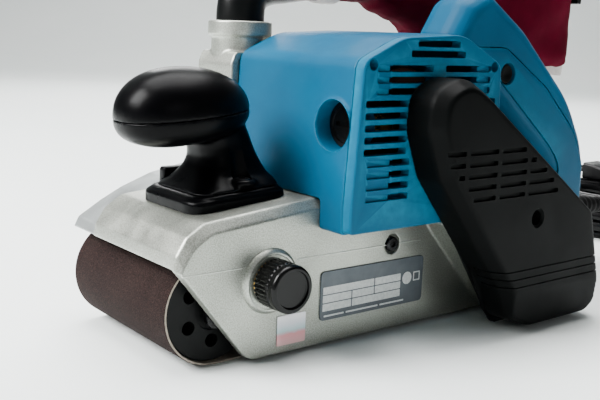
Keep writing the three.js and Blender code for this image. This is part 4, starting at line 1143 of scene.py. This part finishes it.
def make_grip():
    cap = cut(grip_head("grip_top"), half_space("half", True), operation="INTERSECT")
    finish(melt(cap, 0.7, 2), "grip_plastic", "grip", "grip_cap", angle=60)
    sx, sy = GRIP_SCREW
    rings = [along_deck(level_ring(*ring)) for ring in STEM_BASE] + [level_ring(*ring) for ring in STEM]
    stem = loft("stem", rings)
    boss = turned("boss", "z", (sx, sy, 0), [(87.4, 7.6), (89.6, 7.4), (90.4, 6.8)], 56)
    lower = melt(join("grip_lower", [grip_head("head"), stem, boss]), 0.8, 12)
    cut(lower, half_space("half", False), operation="INTERSECT")
    melt(lower, 0.7, 2)
    cut(lower, turned("recess", "z", (sx, sy, 0), [(87.2, 5.4), (90, 5.4), (104, 7)], 48))
    cut(lower, slab("lug_room", box_outline(89.7, 104.3, 70, 91.8, 1), -20, -9.2))
    finish(lower, "grip_plastic", "grip", "grip_stem", angle=60)
    wall = [(70, 0), (81.4, 0), (82.3, 0.3), (83, 0.9), (83.5, 1.7)]
    rings = [level_ring(58 + d, 117 - d, -14 + d, 43.5 - d, 12, z) for z, d in wall]
    rings.append(level_ring(59.6, 114, -12.2, 41.8, 12, 84.4))
    rings.append(level_ring(60.4, 112.4, -11, 40.4, 12, 84.9))
    foot = loft("grip_foot", [rings[0]] + [along_deck(ring) for ring in rings[1:]])
    lug = loft("lug", [level_ring(90, 104, -15.5, -9.5, 1.5, z) for z in (75, 90.4)]
               + [level_ring(90.8, 103.2, -14.7, -10.3, 1.2, 91.4)])
    foot = melt(join("grip_foot", [foot, lug]), 0.7, 2)
    cut(foot, slab("deck", inset(FRAME_TOP + FRAME_BOTTOM, -GAP), -40, 60))
    finish(foot, "grip_plastic", "grip", "grip_base", angle=38)
    screw = turned("grip_screw_head", "z", (sx, sy, 87.5), [(0, 4.6), (2.4, 4.6), (3.1, 4.1), (3.4, 3)], 48)
    cut(screw, rod("z", (sx, sy, 89), 0, 4, 2, 6))
    finish(screw, "black_screw", "screw", "grip_screw")


# ---- Fan case, elbow and bag ----

def make_fan_case():
    body = melt(cad_copy("fan_scroll", "fan_case"), 0.8, 6)
    collar = turned("collar", "z", (*SPOUT, 161.4), [
        (0, 17.3), (0.8, 18.6), (1.8, 19), (8, 19), (8.9, 18.6), (9.2, 17.8), (9.2, 15.6), (0, 15.6),
    ], 72)
    finish(join("fan_scroll", [body, collar]), "cast_frame", "paint", "fan_case", angle=50)


def make_elbow():
    route = [(35, 152), (35, 160), (35, 168), (35, 175), (33.6, 182.6), (28.4, 189.4), (18, 194.2), (1, 197),
             (-20, 200.2)]
    path = smooth_path([(x, SPOUT[1], z) for x, z in route], 6)
    bead = 0.9
    radii = [14.3 + (bead if i > len(path) - 3 else 0) for i in range(len(path))]
    outer = swept("outlet_elbow", path, radii, 48)
    longer = [path[0] - Vector((0, 0, 4)), *path, path[-1] + Vector((-4, 0, 0.3))]
    cut(outer, swept("bore", longer, [12.2] * len(longer), 40))
    finish(outer, "elbow_plastic", "elbow", "dust_elbow", angle=50, body="dust_outlet")


BAG_SEAM = [
    (-22, 185, 2), (-62, 187, 14), (-90, 172.5, 14), (-122, 145.5, 16), (-280.5, 145.5, 3), (-279.5, 261, 22),
    (-130, 265, 40), (-62, 239, 30), (-36, 216.5, 6), (-22, 216.5, 2),
]


def bag_start():
    """The bag before it is blown up: two flat sides that meet along a seam, and a round throat."""
    outline = rounded(BAG_SEAM, 10)
    centre = Vector((-165, 204))
    half_profile = [(1, 44), (0.97, 32), (0.88, 20), (0.72, 11), (0.5, 5), (0.25, 1.5)]
    profile = [(-side, pull) for side, pull in half_profile] + [(0, 0)] + list(reversed(half_profile))
    rings = []
    for side, pull in profile:
        ring = []
        for p in outline:
            throat = clamped((-p.x - 30) / 60)
            q = p.lerp(centre, pull * (0.15 + 0.85 * throat) / (p - centre).length)
            half = 14 + 8 * throat
            ring.append((q.x, BAG_MID_Y + side * half, q.y))
        rings.append(ring)
    return loft("filter_bag", rings)


def make_bag():
    bag = melt(bag_start(), 4.5, 1)
    rest = [v.co.copy() for v in bag.data.vertices]
    blow_up(bag)
    most = BAG_MOST_MOVE * MM
    for vertex, start in zip(bag.data.vertices, rest):
        moved = vertex.co - start
        if moved.length > most:
            vertex.co = start + moved * (most / moved.length)
    crease(bag)
    refine = bag.modifiers.new("finer", "SUBSURF")
    refine.levels = refine.render_levels = 1
    bake(bag)
    finish(bag, "bag_fabric", "bag", "dust_bag", angle=80, body="dust_outlet")
    make_bag_trim()


def blow_up(bag):
    """Fills the bag by cloth simulation, with its throat and its seam held."""
    held = [vertex.index for vertex in bag.data.vertices
            if vertex.co.x > BAG_THROAT_X * MM or abs(vertex.co.y - BAG_MID_Y * MM) < BAG_SEAM_REACH * MM]
    pins = bag.vertex_groups.new(name="held")
    pins.add(held, 1.0, "REPLACE")
    step = bag.modifiers.new("cloth", "CLOTH")
    step.settings.use_pressure = True
    step.settings.uniform_pressure_force = 4
    step.settings.tension_stiffness = 10
    step.settings.bending_stiffness = 0.6
    step.settings.vertex_group_mass = "held"
    step.settings.effector_weights.gravity = 0
    scene = bpy.context.scene
    for number in range(1, BAG_STEPS + 1):
        scene.frame_set(number)
    bake(bag)
    scene.frame_set(1)


def crease(bag):
    """Folds that fan out from the throat, and smaller ones along the seam, as in a part-filled bag."""
    bag.data.update()
    for vertex in bag.data.vertices:
        p = vertex.co / MM
        free = clamped((-p.x - 34) / 40)
        fan = atan2(p.z - 200, -p.x + 10)
        fold = sin(fan * 15 + 0.02 * p.x + 2.2 * noise.noise(p * 0.02))
        fold *= exp(-max(-p.x - 60, 0) / 90)
        near_seam = exp(-abs(p.y - BAG_MID_Y) / 9)
        pucker = sin((p.x + p.z) * 0.34 + 3 * noise.noise(p * 0.03)) * near_seam
        ripple = noise.noise(Vector((p.x * 0.022, p.y * 0.05, p.z * 0.03)))
        fine = noise.noise(Vector((p.x * 0.06 + 7, p.y * 0.08, p.z * 0.07)))
        tail = exp(-max(p.x + 284, 0) / 28)
        sag = sin(p.z * 0.14 + 2 * noise.noise(p * 0.015)) * tail
        lift = 2.6 * fold + 4 * ripple + 1.4 * fine + 1.1 * pucker + 1.2 * sag - 1.4
        vertex.co += vertex.normal * (free * lift) * MM


def make_bag_trim():
    rings = []
    count = 60
    for i in range(count + 1):
        x = -127 - 154.5 * i / count
        sway = 1.1 * sin(x / 17) + 0.8 * sin(x / 7.3)
        y = BAG_MID_Y + sway
        hang = 138.6 + 0.5 * sin(x / 11)
        section = [(y - 1.3, hang + 0.8), (y - 0.7, hang), (y + 0.7, hang), (y + 1.3, hang + 0.8),
                   (BAG_MID_Y + 3.2, 150.5), (BAG_MID_Y - 3.2, 150.5)]
        rings.append([(x, a, b) for a, b in section])
    finish(loft("bag_hem", rings), "bag_fabric", "tape", angle=40, body="dust_outlet")
    cuff = turned("bag_cuff", "x", (-36, BAG_MID_Y, 200.5), [
        (0, 15.6), (1, 16.7), (3, 17.1), (6, 16.6), (9, 17.2), (12, 16.8), (14.5, 16.9), (15.6, 16.2),
        (15.8, 15), (0, 15),
    ], 56)
    finish(cuff, "bag_fabric", "tape", angle=60, body="dust_outlet")
    softened("bag_clip_bar", "bag_clip", 0.7, 8, "black_plastic", "black", body="dust_outlet", angle=50)


# ---- Carried-over CAD nodes ----

CAD_LOOKS = {
    "cork": ("platen_pad",),
    "steel": ("platen_plate", "roller_bearing_left", "roller_bearing_right", "tension_stem",
              "tension_spring", "tension_lever", "lever_pin", "motor_shaft", "motor_pulley",
              "motor_bearing_left", "motor_bearing_right"),
    "roller": ("drive_roller", "driven_pulley"),
    "rubber": ("roller_sleeve", "drive_belt"),
    "screw": ("yoke", "front_axle"),
    "laminations": ("stator_core", "armature_core"),
    "copper": ("field_winding", "armature_winding", "commutator"),
    "black": ("fan", "switch_body"),
    "carbon": ("carbon_brush_front", "carbon_brush_rear"),
    "brass": ("brush_holder_front", "brush_holder_rear"),
    "guard": ("dust_duct",),
}


def dress(node, look):
    """Gives a CAD node its material and takes the sharpness off its edges."""
    if not node.material_slots:
        node.data.materials.append(look)
    for slot in node.material_slots:
        slot.material = look
    weld = node.modifiers.new("weld", "WELD")
    weld.merge_threshold = 1e-6
    edge = node.modifiers.new("edge", "BEVEL")
    edge.width = 0.4 * MM
    edge.segments = 2
    edge.limit_method = "ANGLE"
    edge.angle_limit = radians(40)


def dress_cad_nodes():
    for look, names in CAD_LOOKS.items():
        for name in names:
            dress(NODES[name], LOOKS[look])


make_camera()
lead, lead_length = make_cord()
plug = make_plug()
for make_part in (
    make_floor, make_lights, make_frame, make_belt, make_front_roller, make_knob, make_nameplate,
    make_sticker, make_frame_screw, make_housing, make_end_panel, make_belt_cover, make_handle, make_grip,
    make_fan_case, make_elbow, make_bag, dress_cad_nodes,
):
    make_part()
